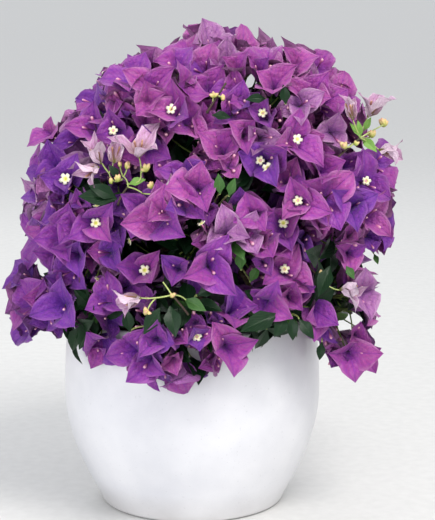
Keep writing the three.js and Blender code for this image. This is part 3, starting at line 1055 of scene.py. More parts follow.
def growLimbs():
    shares = np.linspace(0, 1, trunkShape["steps"] + 1)
    trunk = {
        "name": "trunk",
        "ring": "trunk",
        "points": np.array([trunkPoint(s) for s in shares]),
        "radii": np.array([trunkRadius(s) for s in shares]),
    }
    limbs = [trunk]
    for mass in masses:
        rule = boughShape["rules"][mass["ring"]]
        carrier = trunk
        if rule["carrier"] != "trunk":
            near = [limb for limb in limbs if limb["ring"] == rule["carrier"]]
            carrier = min(near, key=lambda limb: abs(math.sin((limb["azimuth"] - mass["azimuth"]) / 2)))
        level = mass["index"] % max(1, mass["count"] / 2)
        first = rule["share"] - rule["stagger"] * level
        end = mass["middle"] - mass["outwards"] * boughShape["tipBack"] * mass["radius"]
        steps = np.linspace(0, 1, boughShape["steps"] + 1)
        thick = rule["radii"][0] + (rule["radii"][1] - rule["radii"][0]) * steps
        for tries in range(boughShape["tries"]):
            nudge = boughShape["nudge"] * math.ceil(tries / 2) * (-1 if tries % 2 else 1)
            start = pointAlong(carrier["points"], min(1, first + nudge))
            bend = start + (end - start) * boughShape["bend"]
            bend[2] = start[2] + (end[2] - start[2]) * rule["rise"]
            if rule["rise"] > 1:
                bend[2] = max(start[2], end[2]) + boughShape["arch"]
            points = bezier(start, bend, end, steps)
            clear = True
            for limb in limbs:
                if limb is carrier:
                    continue
                apart = np.linalg.norm(points[:, None] - limb["points"][None], axis=2)
                room = thick[:, None] + limb["radii"][None] + boughShape["gap"]
                clear = clear and not (apart < room)[boughShape["carried"]:].any()
            if clear:
                break
        limbs.append({
            "name": mass["bough"],
            "ring": mass["ring"],
            "azimuth": mass["azimuth"],
            "points": points,
            "radii": thick,
        })
    return limbs


def limbMesh(points, thick, sides, ridges, draw):
    tangents = np.gradient(points, axis=0)
    tangents /= np.linalg.norm(tangents, axis=1)[:, None]
    side = unit(cross(tangents[0], [0.3, 0.9, 0.1]))
    phases = [between(draw, 0, fullTurn) for _ in range(4)]
    made, faces = [], []
    travelled = 0
    for i, (point, radius, ahead) in enumerate(zip(points, thick, tangents)):
        side = unit(side - ahead * (side @ ahead))
        other = cross(ahead, side)
        travelled += np.linalg.norm(point - points[i - 1]) if i else 0
        for k in range(sides):
            angle = 2 * math.pi * k / sides  # five long ridges, nine finer ones and slanting rings
            bark = math.sin(5 * angle + phases[0] + travelled * 0.05) + 0.6 * math.sin(9 * angle + phases[1])
            bark += 0.7 * math.sin(travelled * 0.35 + phases[2] + 2 * angle)
            grown = radius * (1 + ridges * 0.5 * bark)
            made.append(point + grown * (math.cos(angle) * side + math.sin(angle) * other))
    for i in range(len(points) - 1):
        for k in range(sides):
            a, b = i * sides + k, i * sides + (k + 1) % sides
            faces.append((a, b, b + sides, a + sides))
    last = (len(points) - 1) * sides
    faces.append(tuple(range(sides - 1, -1, -1)))
    faces.append(tuple(last + k for k in range(sides)))
    return made, faces


def makeBark(limbs):
    draw = random.Random(boughShape["seed"])
    points, faces = [], []
    for limb in limbs:
        rule = trunkShape if limb["name"] == "trunk" else boughShape
        some, loops = limbMesh(limb["points"], limb["radii"], rule["sides"], rule["ridges"], draw)
        faces += [tuple(corner + len(points) for corner in loop) for loop in loops]
        points += some
    mesh = meshFrom("bark_limbs", np.array(points) * mm, faces)
    mesh.polygons.foreach_set("use_smooth", [len(face) < 5 for face in faces])
    mesh.materials.append(barkFinish())
    return addObject("bark_limbs", mesh)


# Crown: every spray hangs on a stalk, the stalks on branches, and the branches on the mass's stem

sprayRule = {
    "seed": 41,
    "rise": 25,  # from a spray's foot to the face of its ball
    "depth": (-4, 6),
    "deeper": (9, 15, 22),  # where it has no room it is tried deeper, more closed and smaller
    "closing": 5,
    "shrinking": 0.04,
    "facing": 0.7,
    "fromCore": 0.4,
    "tilt": 0.6,
    "upwards": 0.12,
    "open": (-10, 16),
    "spin": 2.1,
    "wander": (0.3, 13),  # how far a blade strays round its whorl, in radians, and in degrees of opening
    "bladeSize": (0.86, 1.08),
    "stars": 0.06,
    "leaves": {"front": 0.75, "hem": 0.3, "bloom": 0.02},  # how many of the whorls are leaves
    "darkDepth": 20,  # openings are kept open this far behind the core
}

# How the sprays that the photograph shows are set to their pixel: each try stands further back,
# turns its bracts more, closes them and makes them smaller, until nothing is in the way.
placedRule = {
    "inset": 9,
    "facing": 0.3,
    "scatter": 0.16,
    "open": (-6, 12),
    "turn": 8,
    "size": 0.93,
    "cup": 17,
    "beyond": 14,  # how far a blade may reach beyond the balls
    "beyondBox": 0.02,  # and beyond the box, as a share of its sides
    "tries": 16,
    "back": 1.2,
    "closing": 2,
    "shrinking": (1.02, 0.012),
    "faults": {"whorl": 12, "opening": 1, "sky": 2},
}

# How the whorls keep apart
roomRule = {
    "cupWide": 0.8,  # the cosine of a whorl's half angle
    "faceAhead": 14,
    "freeAhead": 12,
    "placed": 1.08,  # how much more room a placed spray keeps to itself
    "near": 75,
    "star": 7,
    "starDepth": 2,
}

# How far the whorls' faces stay apart, how deep other blades may reach into them, and their size
sprayLayers = [
    {"layer": "outer", "grid": 8, "inset": 2, "apart": 24, "cup": 17, "size": (0.9, 1.08)},
    {"layer": "outer", "grid": 9, "inset": 5, "apart": 18, "cup": 12, "size": (0.8, 0.95)},
    {"layer": "outer", "grid": 11, "inset": 8, "apart": 14, "cup": 9, "size": (0.62, 0.78)},
    {"layer": "inner", "grid": 12, "inset": 24, "apart": 24, "cup": 9, "size": (0.9, 1.08)},
]

# Which tint a whorl has, as painted light: lighter and warmer where it faces the lamp and to the right, on
# the lit side, and darker within, as painted shade
tintRule = {
    "seed": 123,
    "order": ["deep_violet", "violet", "magenta", "bright_magenta"],
    "upTo": [0.33, 0.55, 0.78],
    "middle": 0.5,
    "light": (0.5, -0.35, 0.8),
    "lit": 0.28,
    "aside": 0.14,
    "halfWidth": 190,
    "scatter": 0.24,
    "inner": 0.22,
    "lilac": 0.1,
    "steps": (0.24, 0.56, 0.2),  # how often a bract is darker than its whorl, like it, or lighter
}

# Sprays that the photograph shows: column and row of the flowers, how far the spray looks aside
# and up, where its bracts point (0 right, 90 up), its tint, its open flowers and its size.
sprayPlaces = [
    (46, 138, -25, 5, (70, 200, 320), "magenta", 0, 1.0),
    (64, 141, -10, 15, (112, 230, 350), "lilac", 0, 0.8),
    (73, 149, -10, 5, (60, 178, 285), "violet", 0, 0.95),
    (88, 133, -15, 20, (90, 180, 320), "magenta", 0, 0.85),
    (85, 104, -50, 20, (140, 245, 20), "violet", 0, 0.95),
    (101, 80, -50, 40, (60, 200, 320), "violet", 1, 0.95),
    (113, 138, 10, 0, (200, 330, 100), "violet", 1, 0.9),
    (125, 124, 0, 15, (105, 225, 345), "violet", 0, 1.05),
    (148, 128, 10, 15, (150, 330, 60), "magenta", 0, 0.9),
    (128, 82, -20, 25, (60, 165, 290), "violet", 0, 1.0),
    (151, 91, 5, 20, (150, 270, 30), "bright_magenta", 0, 0.95),
    (148, 65, -10, 20, (165, 45, 270), "magenta", 0, 0.9),
    (171, 116, -20, 20, (195, 90, 320), "magenta", 1, 0.95),
    (150, 108, 0, 20, (120, 240, 0), "bright_magenta", 0, 0.95),
    (178, 66, 5, 30, (60, 180, 300), "violet", 0, 0.9),
    (190, 88, 10, 20, (75, 190, 290), "lilac", 0, 0.9),
    (185, 126, 0, 15, (95, 210, 330), "bright_magenta", 0, 1.0),
    (203, 72, 0, 35, (80, 200, 320), "magenta", 0, 0.95),
    (226, 64, 0, 30, (95, 215, 335), "lilac", 0, 0.95),
    (236, 74, 5, 25, (30, 270, 150), "bright_magenta", 0, 0.95),
    (212, 92, 0, 20, (60, 180, 300), "magenta", 0, 0.95),
    (233, 90, -15, 20, (170, 260, 100), "magenta", 0, 0.85),
    (240, 106, 0, 15, (330, 210, 90), "violet", 0, 0.9),
    (262, 73, 0, 30, (130, 20, 250), "magenta", 0, 0.9),
    (274, 88, 5, 25, (150, 30, 265), "bright_magenta", 0, 1.0),
    (297, 70, 10, 25, (10, 150, 270), "bright_magenta", 0, 1.0),
    (314, 80, 30, 25, (60, 300, 180), "lilac", 0, 0.9),
    (311, 100, 10, 20, (165, 60, 330), "magenta", 0, 1.0),
    (300, 112, 0, 5, (20, 190, 280), "lilac", 0, 0.75),
    (330, 108, 25, 15, (30, 150, 280), "magenta", 0, 1.0),
    (345, 99, 30, 20, (60, 180, 300), "bright_magenta", 0, 0.95),
    (263, 119, -10, 20, (170, 290, 50), "magenta", 1, 0.95),
    (240, 124, -10, 15, (135, 10, 250), "lilac", 0, 0.8),
    (203, 131, 0, 15, (80, 250, 330), "bright_magenta", 0, 1.1),
    (223, 156, 0, 10, (150, 50, 290), "bright_magenta", 0, 1.2),
    (243, 140, 5, 10, (160, 40, 280), "magenta", 0, 1.0),
    (260, 148, 0, 0, (125, 250, 10), "lilac", 0, 0.7),
    (272, 138, 5, 10, (190, 40, 300), "bright_magenta", 0, 1.0),
    (283, 148, 20, 10, (220, 340, 90), "magenta", 0, 0.9),
    (299, 147, 20, 15, (85, 200, 320), "bright_magenta", 1, 1.1),
    (334, 138, 0, 0, (190, 70, 300), "lilac", 0, 0.8),
    (318, 158, 0, 5, (200, 80, 330), "magenta", 0, 0.95),
    (265, 171, 0, 5, (165, 295, 45), "violet", 2, 1.05),
    (288, 187, 5, 10, (182, 60, 310), "magenta", 0, 1.1),
    (325, 177, 10, 10, (140, 20, 250), "magenta", 0, 1.0),
    (298, 209, 0, 0, (100, 232, 345), "magenta", 1, 1.1),
    (329, 204, 10, 10, (160, 50, 290), "magenta", 0, 1.15),
    (352, 172, 20, 5, (160, 290, 50), "violet", 0, 0.8),
    (368, 189, 10, 0, (95, 215, 335), "violet", 1, 1.0),
    (352, 214, 5, 0, (150, 270, 30), "deep_violet", 0, 1.0),
    (384, 168, 35, 10, (60, 180, 300), "violet", 0, 0.95),
    (388, 190, 35, 5, (90, 210, 330), "magenta", 0, 0.95),
    (377, 226, 25, 5, (190, 70, 320), "bright_magenta", 0, 0.95),
    (388, 240, 25, 0, (100, 232, 310), "violet", 0, 0.95),
    (346, 225, 10, 5, (200, 340, 80), "bright_magenta", 0, 0.75),
    (352, 244, 10, 10, (90, 190, 330), "bright_magenta", 0, 0.95),
    (352, 261, 10, 0, (160, 285, 30), "magenta", 0, 1.0),
    (322, 230, 5, 10, (170, 300, 60), "bright_magenta", 0, 1.05),
    (283, 231, 0, 0, (30, 170, 285), "violet", 1, 1.0),
    (262, 245, -15, 10, (25, 180, 300), "magenta", 0, 1.05),
    (301, 253, 0, 0, (165, 60, 290), "deep_violet", 0, 0.95),
    (229, 238, -5, 10, (100, 215, 330), "lilac", 0, 1.02),
    (251, 240, 10, 10, (75, 180, 290), "lilac", 0, 0.7),
    (228, 218, -5, 15, (0, 150, 270), "bright_magenta", 0, 0.9),
    (252, 220, -10, 5, (112, 200, 310), "magenta", 0, 0.95),
    (263, 268, 0, 5, (50, 180, 300), "violet", 0, 0.85),
    (280, 255, -5, 5, (90, 200, 320), "magenta", 0, 0.9),
    (285, 277, 0, 5, (60, 215, 325), "bright_magenta", 1, 1.05),
    (300, 298, 0, -25, (150, 30, 265), "magenta", 0, 0.95),
    (267, 312, 0, -5, (160, 340, 60), "violet", 0, 1.0),
    (235, 316, 0, 5, (105, 10, 250), "violet", 0, 1.1),
    (320, 322, 5, -10, (170, 270, 345), "violet", 0, 1.15),
    (365, 303, 25, 0, (85, 265, 190), "lilac", 0, 1.05),
    (361, 343, 15, 10, (75, 200, 330), "magenta", 0, 0.85),
    (354, 365, 5, -5, (175, 285, 20), "magenta", 0, 1.05),
    (368, 364, 20, -5, (20, 90, 300), "magenta", 0, 0.85),
    (337, 368, -5, 0, (110, 240, 0), "violet", 0, 1.0),
    (64, 187, -5, 0, (60, 180, 290), "deep_violet", 1, 0.95),
    (52, 172, -20, 5, (100, 220, 340), "deep_violet", 0, 0.95),
    (185, 182, 0, 5, (150, 30, 270), "violet", 0, 1.0),
    (165, 178, 0, 0, (150, 10, 250), "magenta", 0, 0.9),
    (197, 193, 0, 10, (75, 200, 300), "bright_magenta", 0, 1.1),
    (55, 205, -20, 0, (60, 180, 300), "violet", 0, 0.9),
    (80, 208, -5, 0, (100, 330, 215), "violet", 0, 0.9),
    (140, 215, 0, 0, (140, 250, 20), "violet", 0, 0.9),
    (165, 214, 5, 5, (100, 350, 230), "magenta", 0, 0.85),
    (96, 231, 0, 0, (200, 60, 320), "violet", 1, 1.1),
    (72, 232, -10, 5, (180, 240, 80), "violet", 0, 0.95),
    (108, 261, 0, 5, (60, 180, 300), "violet", 0, 0.8),
    (159, 228, 0, 5, (195, 328, 80), "magenta", 0, 1.4),
    (60, 246, -15, 0, (190, 300, 70), "violet", 0, 1.0),
    (75, 262, -5, 0, (175, 285, 50), "violet", 0, 1.0),
    (90, 268, 0, 10, (160, 30, 280), "magenta", 0, 0.85),
    (110, 272, 0, 5, (95, 270, 190), "lilac", 0, 0.9),
    (129, 292, 0, 5, (90, 210, 330), "violet", 0, 0.9),
    (145, 278, 0, 10, (175, 55, 300), "violet", 1, 1.05),
    (177, 278, 0, 5, (140, 30, 268), "violet", 0, 1.0),
    (208, 276, 5, 10, (190, 60, 320), "magenta", 0, 1.15),
    (100, 290, 0, 0, (60, 180, 300), "magenta", 0, 0.85),
    (56, 312, -15, 0, (80, 200, 320), "deep_violet", 0, 0.95),
    (58, 288, -15, 0, (150, 30, 270), "deep_violet", 0, 0.95),
    (155, 346, 0, 0, (88, 340, 235), "violet", 0, 1.0),
    (197, 346, -5, 0, (130, 20, 260), "violet", 1, 1.0),
    (231, 356, 5, -5, (25, 130, 260), "bright_magenta", 0, 1.12),
    (199, 154, 0, 10, (100, 220, 340), "bright_magenta", 0, 0.75),
    (306, 178, 0, 5, (60, 180, 300), "magenta", 0, 0.65),
    (213, 327, 0, 0, (90, 210, 330), "violet", 0, 0.7),
    (178, 345, 0, 0, (70, 190, 310), "magenta", 0, 0.85),
    (107, 306, 0, 0, (90, 210, 330), "violet", 0, 0.8),
    (376, 246, 15, -5, (40, 160, 285), "deep_violet", 0, 0.7),
    (320, 70, 15, 25, (60, 180, 300), "magenta", 0, 0.85),
    (210, 112, 0, 15, (60, 180, 300), "violet", 0, 0.75),
    (229, 116, 0, 15, (90, 210, 330), "magenta", 0, 0.7),
    (276, 122, 0, 10, (60, 180, 290), "magenta", 0, 0.7),
    (230, 168, 0, 5, (60, 160, 290), "bright_magenta", 0, 0.6),
    (48, 262, -20, 0, (60, 180, 300), "violet", 0, 0.85),
    (66, 282, -10, 0, (90, 210, 330), "deep_violet", 0, 0.85),
    (196, 331, 0, 0, (100, 220, 340), "violet", 0, 0.75),
    (383, 252, 10, -5, (290, 70, 180), "magenta", 0, 0.85),
    (252, 106, 0, 15, (60, 180, 300), "magenta", 0, 0.75),
    (255, 284, 0, 0, (200, 320, 90), "violet", 0, 0.7),
    (290, 305, 0, -10, (60, 180, 300), "magenta", 0, 0.85),
    (207, 213, 0, 5, (60, 180, 300), "magenta", 0, 0.85),
    (187, 209, 0, 10, (110, 200, 320), "violet", 0, 0.85),
    (215, 372, 0, -15, (190, 300, 60), "magenta", 0, 1.0),
    (127, 360, -10, 0, (190, 60, 300), "violet", 0, 0.95),
    (150, 372, 0, -10, (90, 215, 330), "violet", 0, 0.95),
    (172, 372, 0, -10, (60, 200, 300), "magenta", 0, 0.9),
]

# Openings in the bloom through which dark leaves show: column, row, half length, half width, slant
darkPlaces = [
    (182, 150, 10, 5, 142), (92, 190, 8, 4, 160), (101, 205, 11, 5, 20), (111, 255, 3, 3, 0),
    (135, 253, 9, 4, 170), (166, 253, 10, 2, 0), (190, 257, 7, 3, 0), (195, 232, 4, 6, 0),
    (236, 168, 2, 5, 0), (247, 188, 8, 4, 150), (262, 201, 8, 4, 150), (224, 197, 6, 7, 0),
    (247, 152, 2, 2, 0), (245, 270, 3, 5, 0), (241, 286, 6, 5, 0),
    (325, 258, 6, 4, 160), (330, 273, 7, 6, 0), (328, 292, 4, 7, 0), (335, 307, 3, 4, 30),
    (276, 336, 24, 6, 8), (173, 301, 9, 6, 0), (165, 318, 9, 9, 0), (197, 308, 8, 5, 0),
    (181, 331, 6, 4, 0), (132, 334, 8, 4, 10), (88, 291, 3, 4, 0), (273, 107, 5, 2, 0),
    (285, 108, 2, 4, 0), (218, 125, 4, 1, 0), (66, 208, 5, 3, 0),
]

# Places of the photograph where nothing of the bloom stands
skyPlaces = [
    (66, 74, 32, 32, 0), (52, 108, 20, 11, 0), (110, 60, 24, 9, 25), (158, 60, 3, 4, 0),
    (250, 89, 5, 5, 0), (284, 120, 2, 7, 0), (318, 79, 3, 4, 0),
    (389, 112, 6, 12, 0), (388, 134, 5, 6, 0), (370, 246, 3, 7, 0),
    (380, 275, 13, 4, 0), (391, 305, 10, 25, 0), (350, 330, 12, 5, 40), (386, 338, 8, 12, 0),
    (43, 277, 3, 4, 0), (44, 362, 14, 22, 0), (289, 374, 38, 26, 0), (194, 363, 6, 2, 145),
]


def coveredCount(points, ellipses):  # how many points are seen inside one of the ellipses
    ellipses = np.array(ellipses, float)
    apart = inPhotograph(points)[:, None] - ellipses[None, :, :2]
    slant = np.radians(ellipses[:, 4])
    along = (apart[..., 0] * np.cos(slant) - apart[..., 1] * np.sin(slant)) / ellipses[:, 2]
    aside = (apart[..., 0] * np.sin(slant) + apart[..., 1] * np.cos(slant)) / ellipses[:, 3]
    return (along ** 2 + aside ** 2 < 1).any(axis=1).sum()


def inSky(points):
    return coveredCount(points, skyPlaces) > 0


def inDarkPlace(points):
    inFront = points[:, 1].mean() < core[1] + sprayRule["darkDepth"]
    return inFront and coveredCount(points, darkPlaces) > 0


def insideBox(points):
    low, high = (np.array(corner) / mm for corner in cadBox)
    spare = (high - low) * placedRule["beyondBox"]
    return ((points > low - spare) & (points < high + spare)).all()


def inPlane(angle, towardsEye):  # a direction in the picture: 0 right, 90 up
    angle = math.radians(angle)
    return unit(viewRight * math.cos(angle) + viewUp * math.sin(angle) - viewAhead * towardsEye)


def whorl(hub, axis, spin, opened, size, draw, fronts, towards=None):  # three blades round an axis
    blades = []
    stray, openStray = sprayRule["wander"]
    for k in range(3):
        shape = draw.randrange(len(fronts))
        turned = turnedFrame(axis, spin + k * 2.0944 + between(draw, -stray, stray))
        if towards:
            turned = frameTowards(axis, inPlane(towards[k], 0))
        turned = tippedFrame(turned, math.radians(opened + between(draw, -openStray, openStray)))
        scale = size * between(draw, *sprayRule["bladeSize"])
        blades.append({"at": hub, "turned": turned, "size": scale, "shape": shape})
    return blades


def bladePoints(blades, fronts):
    return np.vstack([(fronts[b["shape"]] * b["size"]) @ b["turned"].T + b["at"] for b in blades])


class Crowd:  # the sprays that stand already, whose insides and open flowers others keep clear of
    def __init__(self):
        self.sprays = []
        self.hubs = self.axes = self.faces = self.stars = np.empty((0, 3))
        self.blades, self.inner, self.rooms = [], [], []

    def keep(self, spray, points):
        self.sprays.append({**spray, "mass": ownerOf(spray["hub"])})
        face = spray["hub"] + spray["axis"] * roomRule["faceAhead"]
        self.hubs = np.vstack([self.hubs, spray["hub"]])
        self.axes = np.vstack([self.axes, spray["axis"]])
        self.faces = np.vstack([self.faces, face])
        self.blades.append(points)
        self.inner.append(spray["layer"] == "inner")
        self.rooms.append(roomRule["placed"] if "tint" in spray else 1)

    def near(self, place):
        return np.flatnonzero(np.linalg.norm(self.hubs - place, axis=1) < roomRule["near"])

    def hasRoom(self, place, apart, inner):
        far = np.linalg.norm(self.faces - place, axis=1)
        return (far > apart * np.array(self.rooms))[np.array(self.inner, bool) == inner].all()

    def entered(self, points, place, reach):  # points inside a whorl that stands
        near = self.near(place)
        apart = points[:, None] - self.hubs[None, near]
        far = np.linalg.norm(apart, axis=2)
        ahead = np.sum(apart * self.axes[None, near], axis=2)
        return ((far < reach) & (ahead > roomRule["cupWide"] * far)).any()

    def enclosed(self, hub, axis, reach):  # standing blades inside a new whorl
        near = self.near(hub)
        if not len(near):
            return False
        apart = np.concatenate([self.blades[k] for k in near]) - hub
        far = np.linalg.norm(apart, axis=1)
        return ((far < reach) & (apart @ axis > roomRule["cupWide"] * far)).any()

    def hidesStar(self, points):
        apart = points[:, None] - self.stars[None]
        ahead = -apart @ viewAhead
        aside = np.linalg.norm(apart + ahead[..., None] * viewAhead, axis=2)
        return ((ahead > -roomRule["starDepth"]) & (aside < roomRule["star"])).any()


def openPoints(mass, inset, gap):  # points that are spread evenly over the open side of a mass
    count = round(4 * math.pi * mass["radius"] ** 2 / gap ** 2)
    steps = np.arange(count)
    height = 1 - (2 * steps + 1) / count
    ring = np.sqrt(1 - height ** 2)
    angle = steps * math.pi * (3 - math.sqrt(5)) + mass["azimuth"]
    facing = np.column_stack([ring * np.cos(angle), ring * np.sin(angle), height])
    points = mass["middle"] + facing * (mass["radius"] - inset)
    apart = np.linalg.norm(points[:, None] - middles[None], axis=2)
    own = np.argmin(apart ** 2 - radii ** 2, axis=1) == masses.index(mass)
    own &= (radii - apart).max(axis=1) < inset + 1
    return list(zip(points[own], facing[own]))


def tintOf(hub, draw, inner):
    rule = tintRule
    # painted light and shade: lighter tints facing the lamp and to the right, darker ones for inner whorls
    lit = unit(hub - core) @ unit(np.array(rule["light"]))
    value = rule["middle"] + rule["lit"] * lit + rule["aside"] * (hub[0] / rule["halfWidth"])
    value = value + between(draw, -rule["scatter"], rule["scatter"]) - (rule["inner"] if inner else 0)
    if not inner and draw.random() < rule["lilac"]:
        return "lilac"
    return rule["order"][sum(value >= most for most in rule["upTo"])]


def besideTint(tint, draw):  # one bract in a few is a tint darker or lighter than its whorl
    order = tintRule["order"]
    if tint not in order:
        return tint
    step = draw.choices((-1, 0, 1), tintRule["steps"])[0]
    return order[max(0, min(len(order) - 1, order.index(tint) + step))]


def placeByPixel(crowd, fronts):  # those with open flowers first and then the largest
    rule, weights, toEye = placedRule, placedRule["faults"], -viewAhead
    ordered = sorted(sprayPlaces, key=lambda place: (-place[6], -place[7]))
    for column, row, aside, above, towards, tint, opened, size in ordered:
        draw = random.Random(column * 1000 + row)  # its own, so that a new place changes no other
        point = crownNear(column, row, rule["inset"])
        facing = unit(point - middles[ownerOf(point)])
        aside, above = math.radians(aside), math.radians(above)
        look = toEye * math.cos(aside) * math.cos(above)
        look = look + viewRight * math.sin(aside) + viewUp * math.sin(above)
        look = unit(look + facing * rule["facing"] + scattered(draw, rule["scatter"]))
        best, least = None, math.inf
        for tries in range(rule["tries"]):
            hub = point - look * flowerShapes["tubeLength"] - toEye * rule["back"] * tries
            opening = between(draw, *rule["open"]) - rule["closing"] * tries
            most, step = rule["shrinking"]
            scale = size * rule["size"] * (most - step * tries)
            looser = 1 + tries / 6
            turns = [angle + between(draw, -rule["turn"], rule["turn"]) * looser for angle in towards]
            blades = whorl(hub, look, 0, opening, scale, draw, fronts, turns)
            points = bladePoints(blades, fronts)
            if not fits(points, -rule["beyond"]) or not insideBox(points) or crowd.hidesStar(points):
                continue
            faults = weights["whorl"] * crowd.entered(points, hub, rule["cup"])
            faults += weights["whorl"] * crowd.enclosed(hub, look, rule["cup"])
            faults += weights["opening"] * coveredCount(points, darkPlaces)
            faults += weights["sky"] * coveredCount(points, skyPlaces)
            if faults < least:
                best, least = (hub, blades, points), faults
            if not faults:
                break
        if best is None:
            print("no room at", column, row)
            continue
        hub, blades, points = best
        crowd.keep({"hub": hub, "axis": look, "blades": blades, "layer": "outer", "kind": "bracts",
                    "star": opened, "tint": tint}, points)
        if opened:
            crowd.stars = np.vstack([crowd.stars, hub + look * flowerShapes["tubeLength"]])


def leafShare(mass):
    if mass["kind"] != "foliage":
        return sprayRule["leaves"]["bloom"]
    return sprayRule["leaves"]["hem" if mass["index"] else "front"]


def fillLayer(crowd, layer, bractFronts, leafFronts, draw):
    rule = sprayRule
    inner = layer["layer"] == "inner"
    candidates = []
    for mass in masses:
        candidates += [(mass, *place) for place in openPoints(mass, layer["inset"], layer["grid"])]
    draw.shuffle(candidates)
    for mass, point, facing in candidates:
        if not crowd.hasRoom(point - facing * roomRule["freeAhead"], layer["apart"], inner):
            continue
        scatter = scattered(draw, 1) * rule["tilt"]
        outwards = facing * rule["facing"] + unit(point - core) * rule["fromCore"]
        axis = unit(outwards + scatter + [0, 0, rule["upwards"]])
        size = between(draw, *layer["size"])
        asLeaves = draw.random() < leafShare(mass)
        fronts = leafFronts if asLeaves else bractFronts
        for tries, depth in enumerate((between(draw, *rule["depth"]), *rule["deeper"])):
            hub = point - facing * (rule["rise"] + depth)
            opening = between(draw, *rule["open"]) - rule["closing"] * tries
            spin, scale = draw.random() * rule["spin"], size * (1 - rule["shrinking"] * tries)
            blades = whorl(hub, axis, spin, opening, scale, draw, fronts)
            points = bladePoints(blades, fronts)
            if not fits(points, 0) or inSky(points) or crowd.hidesStar(points):
                continue
            if inDarkPlace(points) and not asLeaves:
                continue
            if crowd.entered(points, hub, layer["cup"]) or crowd.enclosed(hub, axis, layer["cup"]):
                continue
            isStar = not inner and hub[1] > core[1] and draw.random() < rule["stars"]
            crowd.keep({"hub": hub, "axis": axis, "blades": blades, "layer": layer["layer"],
                        "kind": "leaves" if asLeaves else "bracts", "star": int(isStar)}, points)
            break


# Twigs in a mass: its stem, branches to groups of sprays, and a stalk to each spray

twigRule = {
    "seed": 77,
    "stem": {"radii": (2.6, 1.8), "points": 7, "bow": 4, "beyond": 0.05},
    "branch": {"count": 4, "radii": (1.7, 1.1), "points": 8, "bow": 5,
               "along": 0.7, "first": 0.3, "reach": 0.62},
    "stalk": {"radii": (1.0, 0.62), "points": 7, "along": 0.6, "first": 0.4, "into": 0.5},
    "stalkBend": {"straight": 18, "share": 0.4, "own": 0.7, "ahead": 0.2, "tries": 8, "aside": 5},
}


def strand(points, radii):
    return points, np.linspace(*radii, len(points))


def curved(start, bend, end, count):
    return bezier(start, bend, end, np.linspace(0, 1, count))


def growStalk(spray, begin, branch, draw):  # keeps the gaps in the bloom clear of stalks
    rule, bending = twigRule["stalk"], twigRule["stalkBend"]
    reach = np.linalg.norm(spray["hub"] - begin)
    bend = spray["hub"] - spray["axis"] * min(bending["straight"], bending["share"] * reach)
    bend = bend * bending["own"] + (begin + branch * bending["ahead"]) * (1 - bending["own"])
    for tries in range(bending["tries"]):
        aside = scattered(draw, bending["aside"]) * tries
        stalk = curved(begin, bend + aside, spray["hub"] + spray["axis"] * rule["into"], rule["points"])
        if not inSky(stalk[:-1]):
            break
    return stalk


def growTwigs(sprays):
    draw = random.Random(twigRule["seed"])
    woody, green = [], []
    stemRule, branchRule, stalkRule = twigRule["stem"], twigRule["branch"], twigRule["stalk"]
    for number, mass in enumerate(masses):
        start = mass["middle"] - mass["outwards"] * boughShape["tipBack"] * mass["radius"]
        hub = mass["middle"] + mass["outwards"] * stemRule["beyond"] * mass["radius"]
        bend = (start + hub) / 2 + scattered(draw, stemRule["bow"])
        woody.append(strand(curved(start, bend, hub, stemRule["points"]), stemRule["radii"]))
        level = turnedFrame(mass["outwards"], 0)
        own = [spray for spray in sprays if spray["mass"] == number]
        for spray in own:
            flat = (spray["hub"] - mass["middle"]) @ level
            spray["turn"] = math.atan2(flat[1], flat[0])
        own.sort(key=lambda spray: spray["turn"])
        branches = min(len(own), branchRule["count"])
        for branch in range(branches):
            group = own[round(branch * len(own) / branches):round((branch + 1) * len(own) / branches)]
            share = 1 - branchRule["along"] * (branch + branchRule["first"]) / branches
            root = start + (hub - start) * share
            far = np.mean([spray["hub"] for spray in group], axis=0)
            end = root + (far - root) * branchRule["reach"]
            bend = (root + end) / 2 + scattered(draw, branchRule["bow"])
            woody.append(strand(curved(root, bend, end, branchRule["points"]), branchRule["radii"]))
            for k, spray in enumerate(group):
                share = 1 - stalkRule["along"] * (k + stalkRule["first"]) / len(group)
                begin = bezier(root, bend, end, [share])[0]
                spray["stalk"] = growStalk(spray, begin, end - root, draw)
                green.append(strand(spray["stalk"], stalkRule["radii"]))
    return woody, green


leafRule = {
    "seed": 99,
    "places": (0.36, 0.62, 0.84),  # along a spray's stalk
    "stray": 0.06,
    "last": 0.97,
    "turn": 2.4,
    "turnStray": 0.4,
    "goes": {"aside": 0.8, "ahead": 0.35, "outwards": 0.3, "rise": -0.15},
    "faces": {"outwards": 0.7, "rise": 0.55, "scatter": 0.35},
    "size": (0.8, 1.15),
    "smaller": (0.75, 0.55),  # tried where the leaf has no room
    "margin": 3,
    "cup": 25,
    "fresh": 0.03,
    "freshDepth": 30,
    "green": 0.08,
    "greenWhorls": 0.12,
}


